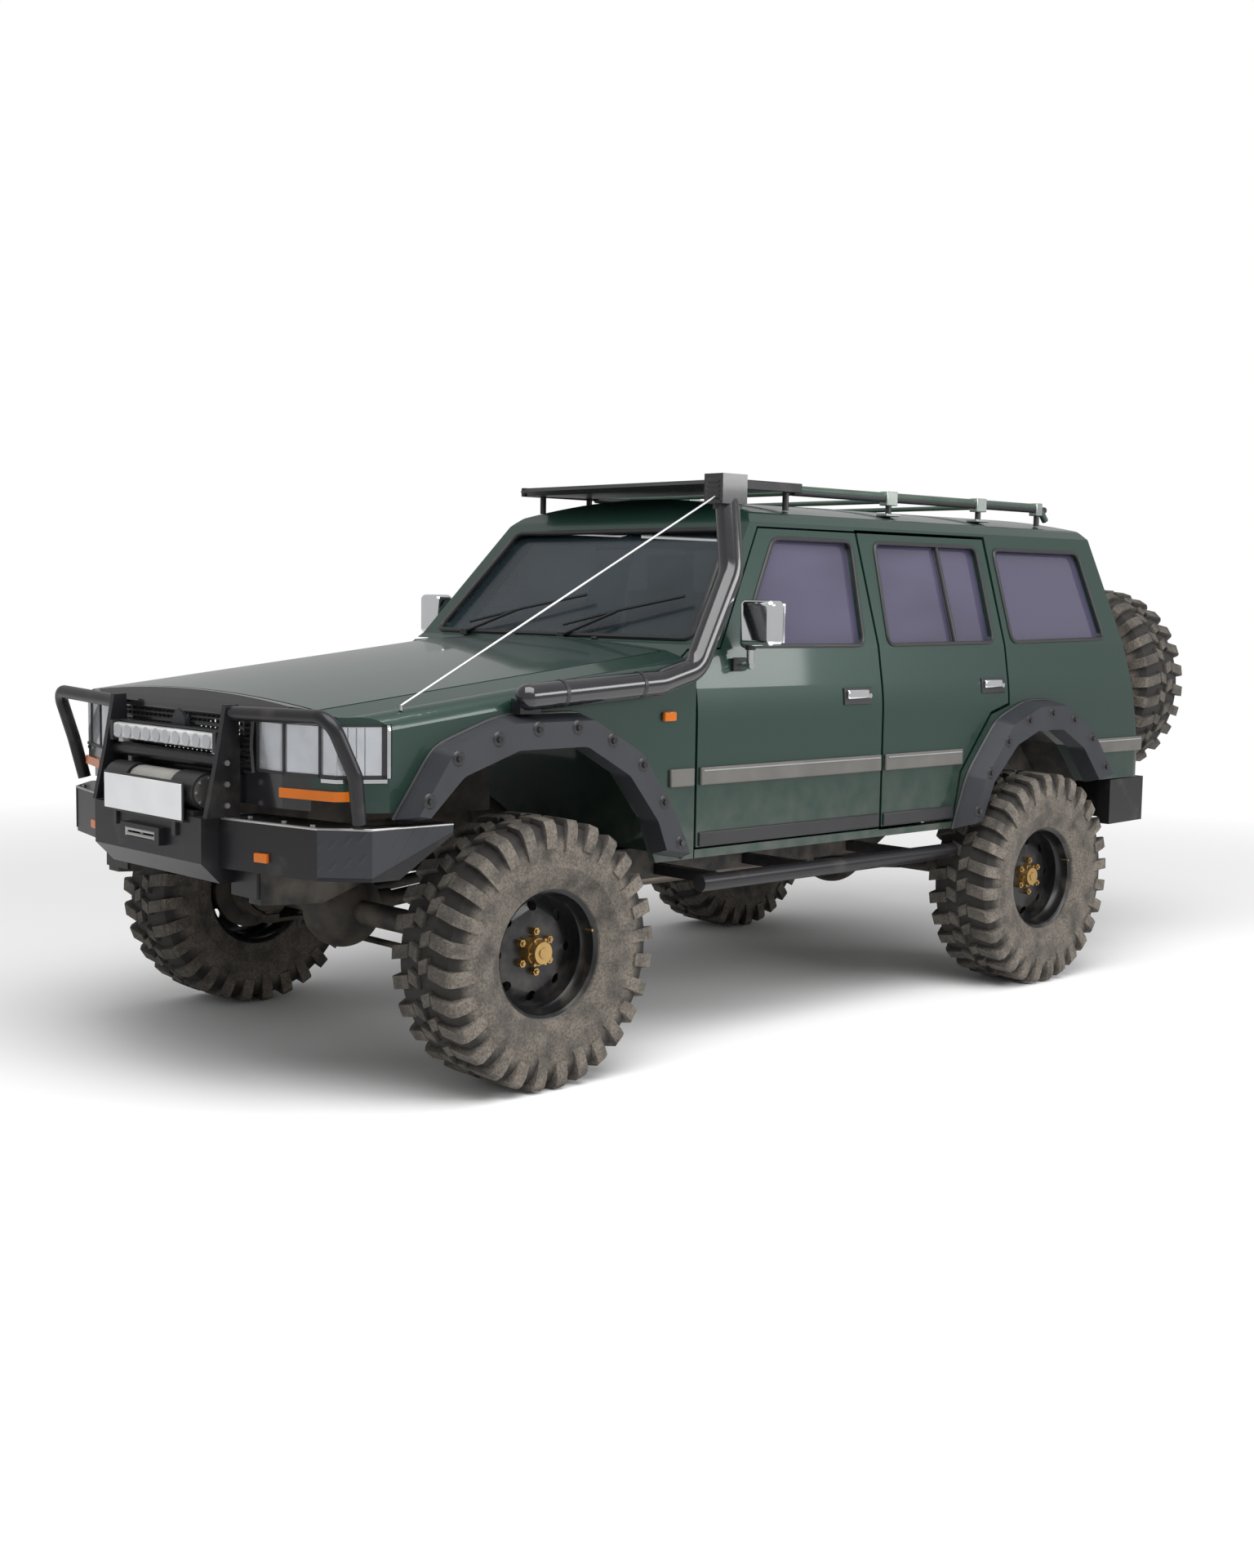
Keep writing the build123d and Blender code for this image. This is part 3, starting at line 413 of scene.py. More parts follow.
def drum(mesh, centre, radius, length, axis="X", sides=24, tip=None):
    """Adds a cylinder, or a cone where tip is given, about its centre along an axis."""
    turn = AXES["Z"].rotation_difference(AXES[axis]).to_matrix().to_4x4()
    return bmesh.ops.create_cone(
        mesh, cap_ends=True, segments=sides, radius1=radius, radius2=radius if tip is None else tip,
        depth=length, matrix=Matrix.Translation(centre) @ turn)["verts"]


def bend_tube(mesh, points, radius, sides=12, closed=False):
    """Adds a round bar through a row of points by extruding one ring along them."""
    points = [Vector(p) for p in points]
    count = len(points)
    rings = []
    up = None
    for i, point in enumerate(points):
        before = points[i - 1] if closed or i else point
        after = points[(i + 1) % count] if closed or i < count - 1 else point
        ahead = (after - before).normalized()
        if up is None:
            up = ahead.orthogonal().normalized()
        up = (up - ahead * up.dot(ahead)).normalized()
        frame_here = Matrix((up, ahead.cross(up), ahead)).transposed().to_4x4()
        ring = bmesh.ops.create_circle(
            mesh, cap_ends=False, radius=radius, segments=sides,
            matrix=Matrix.Translation(point) @ frame_here)["verts"]
        rings.append(list(dict.fromkeys(edge for vert in ring for edge in vert.link_edges)))
    pairs = list(zip(rings, rings[1:]))
    if closed:
        pairs.append((rings[-1], rings[0]))
    for first, second in pairs:
        bmesh.ops.bridge_loops(mesh, edges=first + second)
    if not closed:
        bmesh.ops.holes_fill(mesh, edges=rings[0] + rings[-1], sides=sides)


def eased(points, radius):
    """Rounds the corners of a row of points with short arcs."""
    points = [Vector(p) for p in points]
    line = [points[0]]
    for before, corner, after in zip(points, points[1:], points[2:]):
        reach = min(radius, (corner - before).length * 0.45, (after - corner).length * 0.45)
        start = corner + (before - corner).normalized() * reach
        end = corner + (after - corner).normalized() * reach
        for i in range(EASE_STEPS + 1):
            share = i / EASE_STEPS
            line.append(start.lerp(corner, share).lerp(corner.lerp(end, share), share))
    return line + [points[-1]]


def outline_tube(mesh, corners, easing, radius):
    """Adds a closed tube of round bar along a window's outline, with eased corners."""
    middle = (corners[0] + corners[-1]) / 2
    bend_tube(mesh, eased([middle, *corners, middle], easing)[:-1], radius, 8, closed=True)


def coil_tube(mesh, start, end, across, radius, turns, steps, wire, sides):
    """Adds a coil of wire round the line from start to end, wound in the plane of two axes."""
    points = []
    for i in range(turns * steps + 1):
        turn = 2 * math.pi * i / steps
        reach = AXES[across[0]] * math.cos(turn) + AXES[across[1]] * math.sin(turn)
        points.append(start.lerp(end, i / (turns * steps)) + radius * reach)
    bend_tube(mesh, points, wire, sides)


def wall(mesh, rows, thick):
    """Adds a sheet through pairs of low and high points."""
    rows = [[mesh.verts.new(point) for point in row] for row in rows]
    faces = [mesh.faces.new((a[0], b[0], b[1], a[1])) for a, b in zip(rows, rows[1:])]
    bmesh.ops.recalc_face_normals(mesh, faces=faces)
    bmesh.ops.solidify(mesh, geom=faces, thickness=thick)


def bolt_ring(mesh, centre, ring, count, radius, length, first=0.0, sides=6, tip=None):
    """Adds bolts in a ring about an axle, the first at an angle."""
    for i in range(count):
        turn = first + 2 * math.pi * i / count
        reach = Vector((0, math.cos(turn), math.sin(turn))) * ring
        drum(mesh, Vector(centre) + reach, radius, length, sides=sides, tip=tip)


def mirrored_x(mesh):
    """Adds the other side's copy of everything in the mesh."""
    geometry = mesh.verts[:] + mesh.edges[:] + mesh.faces[:]
    copied = bmesh.ops.duplicate(mesh, geom=geometry)["geom"]
    verts = [g for g in copied if isinstance(g, bmesh.types.BMVert)]
    bmesh.ops.scale(mesh, vec=(-1, 1, 1), verts=verts)
    bmesh.ops.reverse_faces(mesh, faces=[g for g in copied if isinstance(g, bmesh.types.BMFace)])


NODE_FINISH = {
    "paint": ("bonnet", "front_fenders", "roof_panel", "bulkhead", "body_side_left", "body_side_right",
              "door_front_left", "door_front_right", "door_rear_left", "door_rear_right",
              "rear_door_left", "rear_door_right"),
    "side_glass": ("door_glass_front_left", "door_glass_front_right", "door_glass_rear_left",
                   "door_glass_rear_right", "rear_glass_left", "rear_glass_right"),
    "screen_glass": ("fixed_glass",),
    "tyre": ("tyre_front_left", "tyre_front_right", "tyre_rear_left", "tyre_rear_right", "spare_tyre"),
    "wheel": ("rim_front_left", "rim_front_right", "rim_rear_left", "rim_rear_right", "spare_rim"),
    "iron": ("front_axle", "rear_axle", "knuckle_left", "knuckle_right", "drivetrain", "engine_block"),
    "under": ("ladder_frame", "suspension", "floor_pan", "fuel_tank", "tie_rod"),
    "flare": ("flares",),
    "bar_black": ("bull_bar", "rear_bumper", "rock_sliders", "front_bumper"),
    "gloss_black": ("snorkel", "grille"),
    "reflector": ("headlamps",),
    "pale_lens": ("light_bar",),
    "winch": ("winch",),
    "exhaust": ("exhaust",),
    "trim_black": ("roof_rack",),
    "cable": ("branch_cable",),
    "cabin": ("dashboard",),
    "cloth": ("seats",),
    "chrome": ("mirror_left", "mirror_right"),
}


class CAR_OT_finishes(bpy.types.Operator):
    """Mix the car's finishes and put one on every frame node"""

    bl_idname = "car.finishes"
    bl_label = "Finishes"

    def execute(self, context):
        mix_finishes(context.scene.car_finish)
        for finish, names in NODE_FINISH.items():
            for name in names:
                data = nodes[name].data
                data.materials.clear()
                data.materials.append(finishes[finish])
        return {"FINISHED"}


# Tyres and wheels: each is made once about its own axle, then put at its five places

WHEEL_PLACES = (
    # place, body, x side, y from the front axle
    ("front_left", "wheel_front_left", 1, 0.0),
    ("front_right", "wheel_front_right", -1, 0.0),
    ("rear_left", "wheel_rear_left", 1, WHEELBASE),
    ("rear_right", "wheel_rear_right", -1, WHEELBASE),
)
SPARE_PLACE = Matrix.Translation(place(0.42, 4.0435, 1.27)) @ Matrix.Rotation(math.radians(90), 4, "Z")
CARCASS_STEPS = 112
LUG_TAPER = 0.82
# How dusty the tyre is on its side lugs, side walls and tread tops; the grooves are kept nearly bare dark
# rubber as painted shade
DUST_AND_GROOVE_SHADE = {"side": 1.0, "wall": 0.8, "top": 0.55, "groove": 0.06}
RIM_STEPS = 72
WINDOW_RING = 0.156
DISC_THICK = 0.007


def wheel_place(side, y):
    """Where a wheel made about its own axle goes, its outer face outwards."""
    turn = Matrix.Identity(4) if side > 0 else Matrix.Rotation(math.pi, 4, "Z")
    return Matrix.Translation(place(side * HALF_TRACK, y, AXLE_HEIGHT)) @ turn


def spun(mesh, profile, steps):
    """Spins a closed profile of (x, radius) once round the axle."""
    verts = [mesh.verts.new((x, 0, r)) for x, r in profile]
    edges = [mesh.edges.new((a, b)) for a, b in zip(verts, verts[1:] + verts[:1])]
    bmesh.ops.spin(mesh, geom=verts + edges, cent=(0, 0, 0), axis=(1, 0, 0), angle=2 * math.pi,
                   steps=steps, use_merge=True, use_duplicate=False)


def lug(mesh, profile, half_angle, angle, slant=0.0):
    """One tread lug: its outline in (x, radius) swept over a small angle, narrower at its tip."""
    root = min(r for _, r in profile)
    tip = max(r for _, r in profile)
    face = mesh.faces.new([mesh.verts.new((x, 0, r)) for x, r in profile])
    swept = bmesh.ops.extrude_face_region(mesh, geom=[face])["geom"]
    far = [g for g in swept if isinstance(g, bmesh.types.BMVert)]
    for verts, side in ((face.verts[:], -1), (far, 1)):
        for vert in verts:
            share = (vert.co.z - root) / (tip - root)
            turn = angle + side * half_angle * (1 - (1 - LUG_TAPER) * share) + slant * vert.co.x
            vert.co.rotate(Matrix.Rotation(turn, 3, "X"))
    return list(face.verts) + far


def tyre_template(tyre):
    """A mud tyre: round carcass, centre blocks and shoulder lugs that run down the side walls."""
    mesh = bmesh.new()
    radius, half, groove = tyre.radius, tyre.width / 2, tyre.groove
    crown = radius - groove
    root = crown - 0.004
    wall = [
        (0.110, 0.2165), (0.128, 0.224), (0.146, 0.262), (0.1505, 0.292), (0.1535, 0.296), (0.1555, 0.330),
        (0.1530, 0.368), (0.146, 0.405), (0.128, 0.432), (0.085, crown - 0.002), (0.0, crown),
    ]
    liner = [(0.0, 0.424), (0.11, 0.415), (0.137, 0.38), (0.140, 0.30), (0.118, 0.240), (0.100, 0.2165)]
    profile = wall + [(-x, r) for x, r in wall[-2::-1]] + [(-x, r) for x, r in liner[::-1]] + liner[1:]
    spun(mesh, profile, CARCASS_STEPS)
    pitch = 2 * math.pi / tyre.lugs
    shoulder = [
        (0.052, root), (0.056, radius), (half - 0.021, radius - 0.002), (half - 0.006, radius - 0.018),
        (half, 0.412), (half - 0.0015, 0.356), (half - 0.011, 0.338), (0.140, 0.385), (0.118, 0.428),
    ]
    short = [(x, max(r, 0.366) if x > 0.13 else r) for x, r in shoulder]
    centre = [(0.004, root), (0.006, radius), (0.050, radius), (0.052, root)]
    tie = [(0.050, root), (0.052, radius - 0.006), (0.062, radius - 0.006), (0.064, root)]
    for sign, stagger in ((1, 0.0), (-1, 0.5)):
        for i in range(tyre.lugs):
            angle = (i + stagger) * pitch
            outer = shoulder if i % 2 else short
            verts = lug(mesh, outer, pitch * 0.27, angle, slant=0.45)
            verts += lug(mesh, centre, pitch * 0.26, angle + pitch * (0.10 if i % 2 else 0.22), slant=-0.9)
            verts += lug(mesh, tie, pitch * 0.12, angle + pitch * 0.16)
            if sign < 0:
                bmesh.ops.scale(mesh, vec=(-1, 1, 1), verts=verts)
    data = as_data(mesh, "tyre_template", 30)
    # Per-point share of dust colour, with the grooves held near zero as painted shade
    dust = data.attributes.new("dust", "FLOAT", "POINT")
    for vert, value in zip(data.vertices, dust.data):
        reach = math.hypot(vert.co.y, vert.co.z)
        if abs(vert.co.x) > half - 0.012 and reach > 0.33:
            value.value = DUST_AND_GROOVE_SHADE["side"]
        elif reach < 0.335:
            value.value = DUST_AND_GROOVE_SHADE["wall"]
        else:
            # Lug tops take some dust; the grooves stay dark rubber as painted shade
            value.value = DUST_AND_GROOVE_SHADE["top" if reach > radius - 0.004 else "groove"]
    return data


def rim_template(tyre):
    """A steel wheel with rolled lips, a deep dish and eight windows in its disc."""
    mesh = bmesh.new()
    outer = [
        (0.1225, 0.223), (0.1225, 0.2275), (0.1185, tyre.rim), (0.1140, 0.2265), (0.1125, 0.2148),
        (0.082, 0.2142), (0.056, 0.200),
    ]
    inner = [(0.060, 0.193), (0.079, 0.2070), (0.111, 0.2080), (0.1185, 0.2165)]
    profile = outer + [(-x, r) for x, r in outer[::-1]] + [(-x, r) for x, r in inner[::-1]] + inner
    spun(mesh, profile, RIM_STEPS)
    flat = bmesh.new()
    turn = Matrix.Rotation(math.radians(90), 4, "Y")
    circles = [(0, 0, 0.196, RIM_STEPS), (0, 0, 0.048, 36)]
    for turn_by in (i * math.pi / 4 for i in range(8)):
        circles.append((WINDOW_RING * math.cos(turn_by), WINDOW_RING * math.sin(turn_by), 0.019, 20))
    for y, z, r, sides in circles:
        bmesh.ops.create_circle(flat, radius=r, segments=sides, matrix=Matrix.Translation((0, y, z)) @ turn)
    bmesh.ops.triangle_fill(flat, use_beauty=True, use_dissolve=False, edges=flat.edges)
    bmesh.ops.subdivide_edges(flat, edges=[e for e in flat.edges if e.calc_length() > 0.03], cuts=1)
    swept = bmesh.ops.extrude_face_region(flat, geom=flat.faces[:])["geom"]
    back = [g for g in swept if isinstance(g, bmesh.types.BMVert)]
    bmesh.ops.translate(flat, vec=(DISC_THICK, 0, 0), verts=back)
    for vert in flat.verts:
        reach = math.hypot(vert.co.y, vert.co.z)
        share = min(1, max(0, (0.185 - reach) / 0.055))
        vert.co.x += 0.010 + 0.018 * share * share * (3 - 2 * share)
    data = bpy.data.meshes.new("rim_disc")
    flat.to_mesh(data)
    flat.free()
    mesh.from_mesh(data)
    return as_data(mesh, "rim_template")


def put(template, name, where, finish, body, *replaced):
    """A copy of a finished mesh at its place on the car."""
    data = template.copy()
    data.name = name
    data.transform(where)
    finished(name, data, finish, body, *replaced)


class CAR_OT_tyres(bpy.types.Operator):
    """Build the four road tyres and the spare"""

    bl_idname = "car.tyres"
    bl_label = "Tyres"

    def execute(self, context):
        template = tyre_template(context.scene.car_tyre)
        for name, body, side, y in WHEEL_PLACES:
            put(template, "mud_tyre_" + name, wheel_place(side, y), "tyre", body, "tyre_" + name)
        put(template, "mud_tyre_spare", SPARE_PLACE, "tyre", "rear_door_left", "spare_tyre")
        return {"FINISHED"}


class CAR_OT_wheels(bpy.types.Operator):
    """Build the steel wheels with their hubs, nuts, valves and brake discs"""

    bl_idname = "car.wheels"
    bl_label = "Wheels"

    def execute(self, context):
        rim = rim_template(context.scene.car_tyre)
        brake, nuts, clamp = bmesh.new(), bmesh.new(), bmesh.new()
        drum(brake, (-0.052, 0, 0), 0.163, 0.022, sides=48)
        drum(brake, (-0.022, 0, 0), 0.064, 0.082, sides=32)
        bolt_ring(nuts, (0.044, 0, 0), 0.0695, 6, 0.0135, 0.024, math.radians(30))
        bolt_ring(nuts, (0.058, 0, 0), 0.0695, 6, 0.0085, 0.010, math.radians(30), 12, 0.006)
        drum(nuts, (0.1085, 0.19, 0.062), 0.004, 0.035, sides=10)
        brake, nuts = as_data(brake, "brake"), as_data(nuts, "nuts")
        hubs = {}
        for kind, reach in (("front", 0.092), ("rear", 0.070)):
            hub = bmesh.new()
            drum(hub, ((0.03 + reach * 0.72) / 2, 0, 0), 0.055, reach * 0.72 - 0.03, sides=32, tip=0.047)
            drum(hub, (reach * 0.86, 0, 0), 0.044, reach * 0.28, sides=32, tip=0.038)
            drum(hub, (reach, 0, 0), 0.021, 0.008, sides=24, tip=0.018)
            bolt_ring(hub, (reach * 0.76, 0, 0), 0.047, 6, 0.0055, 0.012)
            hubs[kind] = as_data(hub, "hub_" + kind)
        for name, body, side, y in WHEEL_PLACES:
            where = wheel_place(side, y)
            put(rim, "steel_wheel_" + name, where, "wheel", body, "rim_" + name)
            put(brake, "brake_" + name, where, "iron", body)
            put(nuts, "wheel_nuts_" + name, where, "brass", body)
            put(hubs[name.split("_")[0]], "hub_cap_" + name, where, "brass", body)
        put(rim, "steel_wheel_spare", SPARE_PLACE, "wheel", "rear_door_left", "spare_rim")
        drum(clamp, (0.046, 0, 0), 0.075, 0.012, sides=32)
        drum(clamp, (0.064, 0, 0), 0.026, 0.036, sides=6)
        drum(clamp, (0.02, 0, 0), 0.046, 0.05, sides=24)
        put(as_data(clamp, "spare_clamp"), "spare_clamp", SPARE_PLACE, "trim_black", "rear_door_left")
        return {"FINISHED"}


# Trim on the sides of the body

# Height against half width of the body side, and plan of the nose as half width against length
SIDE_PROFILE = ((0.70, 0.900), (1.265, 0.900), (1.475, 0.866), (1.955, 0.722))
NOSE_PLAN = ((0.0, -0.790), (0.3, -0.790), (0.6, -0.775), (0.82, -0.715), (0.9, -0.570))
FRONT_WINDOW = ((1.064, 1.480), (1.368, 1.895), (1.828, 1.895), (1.785, 1.480))
REAR_WINDOW = ((1.940, 1.480), (1.975, 1.895), (2.663, 1.895), (2.655, 1.487))
QUARTER_WINDOW = ((2.788, 1.487), (2.788, 1.890), (3.440, 1.890), (3.510, 1.500))
FLARES = (
    # end, bolts, and rows of (y along the outer edge, its height, y along the inner edge, its height)
    ("front", 9, (
        (-0.560, 0.942, -0.497, 0.930), (-0.400, 1.170, -0.340, 1.075), (-0.130, 1.262, -0.110, 1.150),
        (0.230, 1.262, 0.190, 1.150), (0.470, 1.130, 0.390, 1.040), (0.640, 0.900, 0.530, 0.870),
        (0.735, 0.712, 0.600, 0.700),
    )),
    ("rear", 8, (
        (2.350, 0.700, 2.425, 0.700), (2.440, 0.930, 2.520, 0.900), (2.640, 1.160, 2.680, 1.050),
        (2.840, 1.232, 2.830, 1.105), (3.050, 1.232, 3.015, 1.105), (3.270, 1.110, 3.185, 1.015),
        (3.480, 0.866, 3.340, 0.840),
    )),
)
MOULDINGS = (
    # name, body, y from, y to
    ("fender", "root", 0.668, 0.790), ("door_front", "door_front", 0.824, 1.860),
    ("door_rear", "door_rear", 1.890, 2.400), ("quarter", "root", 3.405, 3.790),
)
WINDOWS = (
    ("door_front", "door_front", FRONT_WINDOW), ("door_rear", "door_rear", REAR_WINDOW),
    ("quarter", "root", QUARTER_WINDOW),
)
HANDLES = (
    # name, y from, y to, z from, z to
    ("front", 1.630, 1.800, 1.246, 1.314), ("rear", 2.535, 2.698, 1.270, 1.336),
)
SKIN_X = 0.8985
SILL_Z = (0.7475, 0.800)


def read_off(table, value):
    """Reads a value off a table of straight stretches."""
    for (a, first), (b, second) in zip(table, table[1:]):
        if value <= b:
            return first + (second - first) * (value - a) / (b - a)
    return table[-1][1]


def on_side(body, side):
    """The name of a body, with its side where it isn't the car's root."""
    return body if body == "root" else f"{body}_{side}"


def side_x(z):
    """Half width of the body side at a height."""
    return read_off(SIDE_PROFILE, z)


def nose_y(x):
    """Place of the nose's face at a distance from the middle."""
    return read_off(NOSE_PLAN, abs(x))


def screen_y(z):
    """Place of the windscreen's face at a height."""
    return 0.885 + 0.7904 * (z - 1.490)


def spread(points, count):
    """Points evenly along a row of (y, z)."""
    points = [Vector(p) for p in points]
    lengths = [(b - a).length for a, b in zip(points, points[1:])]
    found = []
    for i in range(count):
        left = sum(lengths) * (i + 0.5) / count
        for a, b, length in zip(points, points[1:], lengths):
            if left <= length:
                found.append(a.lerp(b, left / length))
                break
            left -= length
    return found


class CAR_OT_side_trim(bpy.types.Operator):
    """Build the side mouldings, sill bands, window seals, handles and side lamps"""

    bl_idname = "car.side_trim"
    bl_label = "Side trim"

    def strips(self, side, sign):
        """Mouldings along the doors and bands along the sill"""
        for name, body, y0, y1 in MOULDINGS:
            body = on_side(body, side)
            with made(f"moulding_{name}_{side}", "moulding", body, sign=sign, bevel=0.005) as mesh:
                block(mesh, (SKIN_X, y0, 0.974), (0.9125, y1, 1.040))
            if name != "fender":
                with made(f"moulding_line_{name}_{side}", "chrome", body, sign=sign) as mesh:
                    block(mesh, (0.912, y0 + 0.012, 1.026), (0.9142, y1 - 0.012, 1.031))
        for name, y0, y1 in (("front", 0.824, 1.860), ("rear", 1.890, 2.350)):
            body = f"door_{name}_{side}"
            with made(f"sill_band_{name}_{side}", "trim_black", body, sign=sign, bevel=0.004) as mesh:
                block(mesh, (SKIN_X, y0, SILL_Z[0]), (0.9085, y1, SILL_Z[1]))

    def seals(self, side, sign):
        """Seals round the windows and behind the doors' edges"""
        for name, body, window in WINDOWS:
            with made(f"window_seal_{name}_{side}", "trim_black", on_side(body, side), sign=sign) as mesh:
                outline_tube(mesh, [place(side_x(z) + 0.001, y, z) for y, z in window], 0.04, 0.0085)
        with made(f"quarterlight_bar_{side}", "trim_black", "door_rear_" + side, sign=sign) as mesh:
            bend_tube(mesh, [place(side_x(z) - 0.008, 2.395, z) for z in (1.482, 1.893)], 0.010, 8)
        for name, y in (("front", 1.875), ("rear", 2.732)):
            with made(f"pillar_seal_{name}_{side}", "trim_black", sign=sign) as mesh:
                heights = (0.78, 1.265, 1.475, 1.90)
                bend_tube(mesh, [place(side_x(z) - 0.052, y, z) for z in heights], 0.009, 8)

    def handles(self, side, sign):
        """Door handles in their recesses, with locks"""
        lean = Matrix.Rotation(math.radians(-5), 4, "Y")
        for name, y0, y1, z0, z1 in HANDLES:
            body = f"door_{name}_{side}"
            x = side_x((z0 + z1) / 2)
            with made(f"handle_recess_{name}_{side}", "trim_black", body, sign=sign, bevel=0.003) as mesh:
                block(mesh, (x - 0.006, y0, z0), (x + 0.0055, y1, z1), lean)
            with made(f"handle_{name}_{side}", "chrome", body, sign=sign, bevel=0.005) as mesh:
                block(mesh, (x + 0.003, y0 + 0.012, z0 + 0.024), (x + 0.017, y1 - 0.030, z1 - 0.008), lean)
            with made(f"lock_{name}_{side}", "chrome", body, sign=sign) as mesh:
                drum(mesh, place(x + 0.004, y1 - 0.016, (z0 + z1) / 2), 0.010, 0.012, sides=16)

    def execute(self, context):
        for side, sign in SIDES:
            self.strips(side, sign)
            self.seals(side, sign)
            self.handles(side, sign)
            with made("side_lamp_" + side, "amber", sign=sign, bevel=0.006) as mesh:
                block(mesh, (SKIN_X, 0.628, 1.216), (0.9175, 0.688, 1.250))
        return {"FINISHED"}


class CAR_OT_flare_bolts(bpy.types.Operator):
    """Build the pocket bolts and rubber edges of the arch flares"""

    bl_idname = "car.flare_bolts"
    bl_label = "Flare bolts"

    def execute(self, context):
        for side, sign in SIDES:
            for end, count, rows in FLARES:
                heads = spread([Vector(row[:2]).lerp(Vector(row[2:]), 0.40) for row in rows], count)
                with made(f"flare_pockets_{end}_{side}", "trim_black", sign=sign) as mesh:
                    for y, z in heads:
                        drum(mesh, place(0.9945, y, z), 0.026, 0.005, sides=20, tip=0.021)
                with made(f"flare_bolts_{end}_{side}", "gloss_black", sign=sign) as mesh:
                    for y, z in heads:
                        drum(mesh, place(0.9985, y, z), 0.0115, 0.011, sides=6)
                with made(f"flare_edge_{end}_{side}", "trim_black", sign=sign) as mesh:
                    edge = eased([(y, z, 0) for y, z, _, _ in rows], 0.06)
                    bend_tube(mesh, [place(0.9035, point.x, point.y) for point in edge], 0.0065, 8)
        return {"FINISHED"}


# Front of the car

def across_nose(mesh, x0, x1, z0, z1, proud, thick, steps=6):
    """A band that follows the nose's plan from x0 to x1, standing proud of it."""
    stops = sorted({x0, x1} | {x for x, _ in NOSE_PLAN if x0 < x < x1})
    stops = [a + (b - a) * i / steps for a, b in zip(stops, stops[1:]) for i in range(steps)] + [x1]
    wall(mesh, [[place(x, nose_y(x) - proud, z) for z in (z0, z1)] for x in stops], thick)


LAMP_ENDS = (0.4685, 0.8985)
LAMP_DIVIDERS = (0.4685, 0.607, 0.752, 0.8905)
GRILLE_FRAME = ((-0.446, 1.070), (-0.446, 1.251), (0.446, 1.251), (0.446, 1.070))
WINCH_Y = -0.864
WINCH_Z = 0.998
ROLLER_Y = -0.9475


class CAR_OT_lamps(bpy.types.Operator):
    """Build the headlamps' bowls and dividers and the amber lamps under them"""

    bl_idname = "car.lamps"
    bl_label = "Lamps"

    def execute(self, context):
        for side, sign in SIDES:
            with made("lamp_bowls_" + side, "reflector", sign=sign) as mesh:
                for x in (0.545, 0.672):
                    drum(mesh, place(x, nose_y(x) + 0.042, 1.160), 0.0279, 0.040, "Y", 32, 0.062)
                for i in range(7):
                    x = 0.778 + 0.013 * i
                    y = nose_y(x)
                    block(mesh, (x, y + 0.012, 1.085), (x + 0.004, y + 0.030, 1.236))
            with made("lamp_bulbs_" + side, "pale_lens", sign=sign) as mesh:
                for x in (0.545, 0.672):
                    bmesh.ops.create_uvsphere(mesh, u_segments=16, v_segments=10, radius=0.017,
                                              matrix=Matrix.Translation(place(x, nose_y(x) + 0.026, 1.160)))
            with made("lamp_frame_" + side, "trim_black", sign=sign) as mesh:
                across_nose(mesh, *LAMP_ENDS, 1.2385, 1.2455, 0.0055, 0.008)
                across_nose(mesh, *LAMP_ENDS, 1.0755, 1.0850, 0.0055, 0.008)
                for x in LAMP_DIVIDERS:
                    across_nose(mesh, x, x + 0.008, 1.0755, 1.2455, 0.0055, 0.008, 2)
            with made("lamp_cover_" + side, "lens", sign=sign) as mesh:
                across_nose(mesh, 0.4695, 0.8970, 1.0770, 1.2440, 0.001, 0.005)
            with made("lamp_trim_" + side, "chrome", sign=sign) as mesh:
                across_nose(mesh, 0.760, 0.898, 1.0600, 1.0720, 0.0035, 0.006)
            with made("front_marker_" + side, "amber", sign=sign) as mesh:
                across_nose(mesh, 0.600, 0.860, 1.003, 1.034, 0.0125, 0.013)
            with made("indicator_" + side, "amber", sign=sign, bevel=0.003) as mesh:
                turn = Matrix.Rotation(math.radians(11.4), 4, "Z")
                block(mesh, (0.530, -0.836, 0.790), (0.588, -0.812, 0.820), turn)
        return {"FINISHED"}


class CAR_OT_grille(bpy.types.Operator):
    """Build the grille's fine bars, its frame and the bare badge place"""

    bl_idname = "car.grille"
    bl_label = "Grille"

    def execute(self, context):
        with made("grille_bars", "trim_black") as mesh:
            for i in range(29):
                x = -0.42 + 0.03 * i
                block(mesh, (x - 0.002, -0.782, 1.080), (x + 0.002, -0.770, 1.242))
            for i in range(9):
                z = 1.089 + 0.018 * i
                block(mesh, (-0.436, -0.786, z - 0.003), (0.436, -0.774, z + 0.003))
        with made("grille_frame", "gloss_black") as mesh:
            for (x0, z0), (x1, z1) in zip(GRILLE_FRAME, GRILLE_FRAME[1:] + GRILLE_FRAME[:1]):
                middle = place((x0 + x1) / 2, -0.792, (z0 + z1) / 2)
                ends = (place(x0, nose_y(x0) - 0.002, z0), place(x1, nose_y(x1) - 0.002, z1))
                bend_tube(mesh, (ends[0], middle, ends[1]), 0.007, 8)
        with made("badge_place", "bar_plate") as mesh:
            drum(mesh, place(0, -0.793, 1.205), 0.052, 0.012, "Y", 40)
            drum(mesh, place(0, -0.800, 1.205), 0.044, 0.008, "Y", 40)
        with made("bonnet_lip_trim", "gloss_black") as mesh:
            across_nose(mesh, 0.0, 0.44, 1.256, 1.268, 0.004, 0.006)
            mirrored_x(mesh)
        return {"FINISHED"}


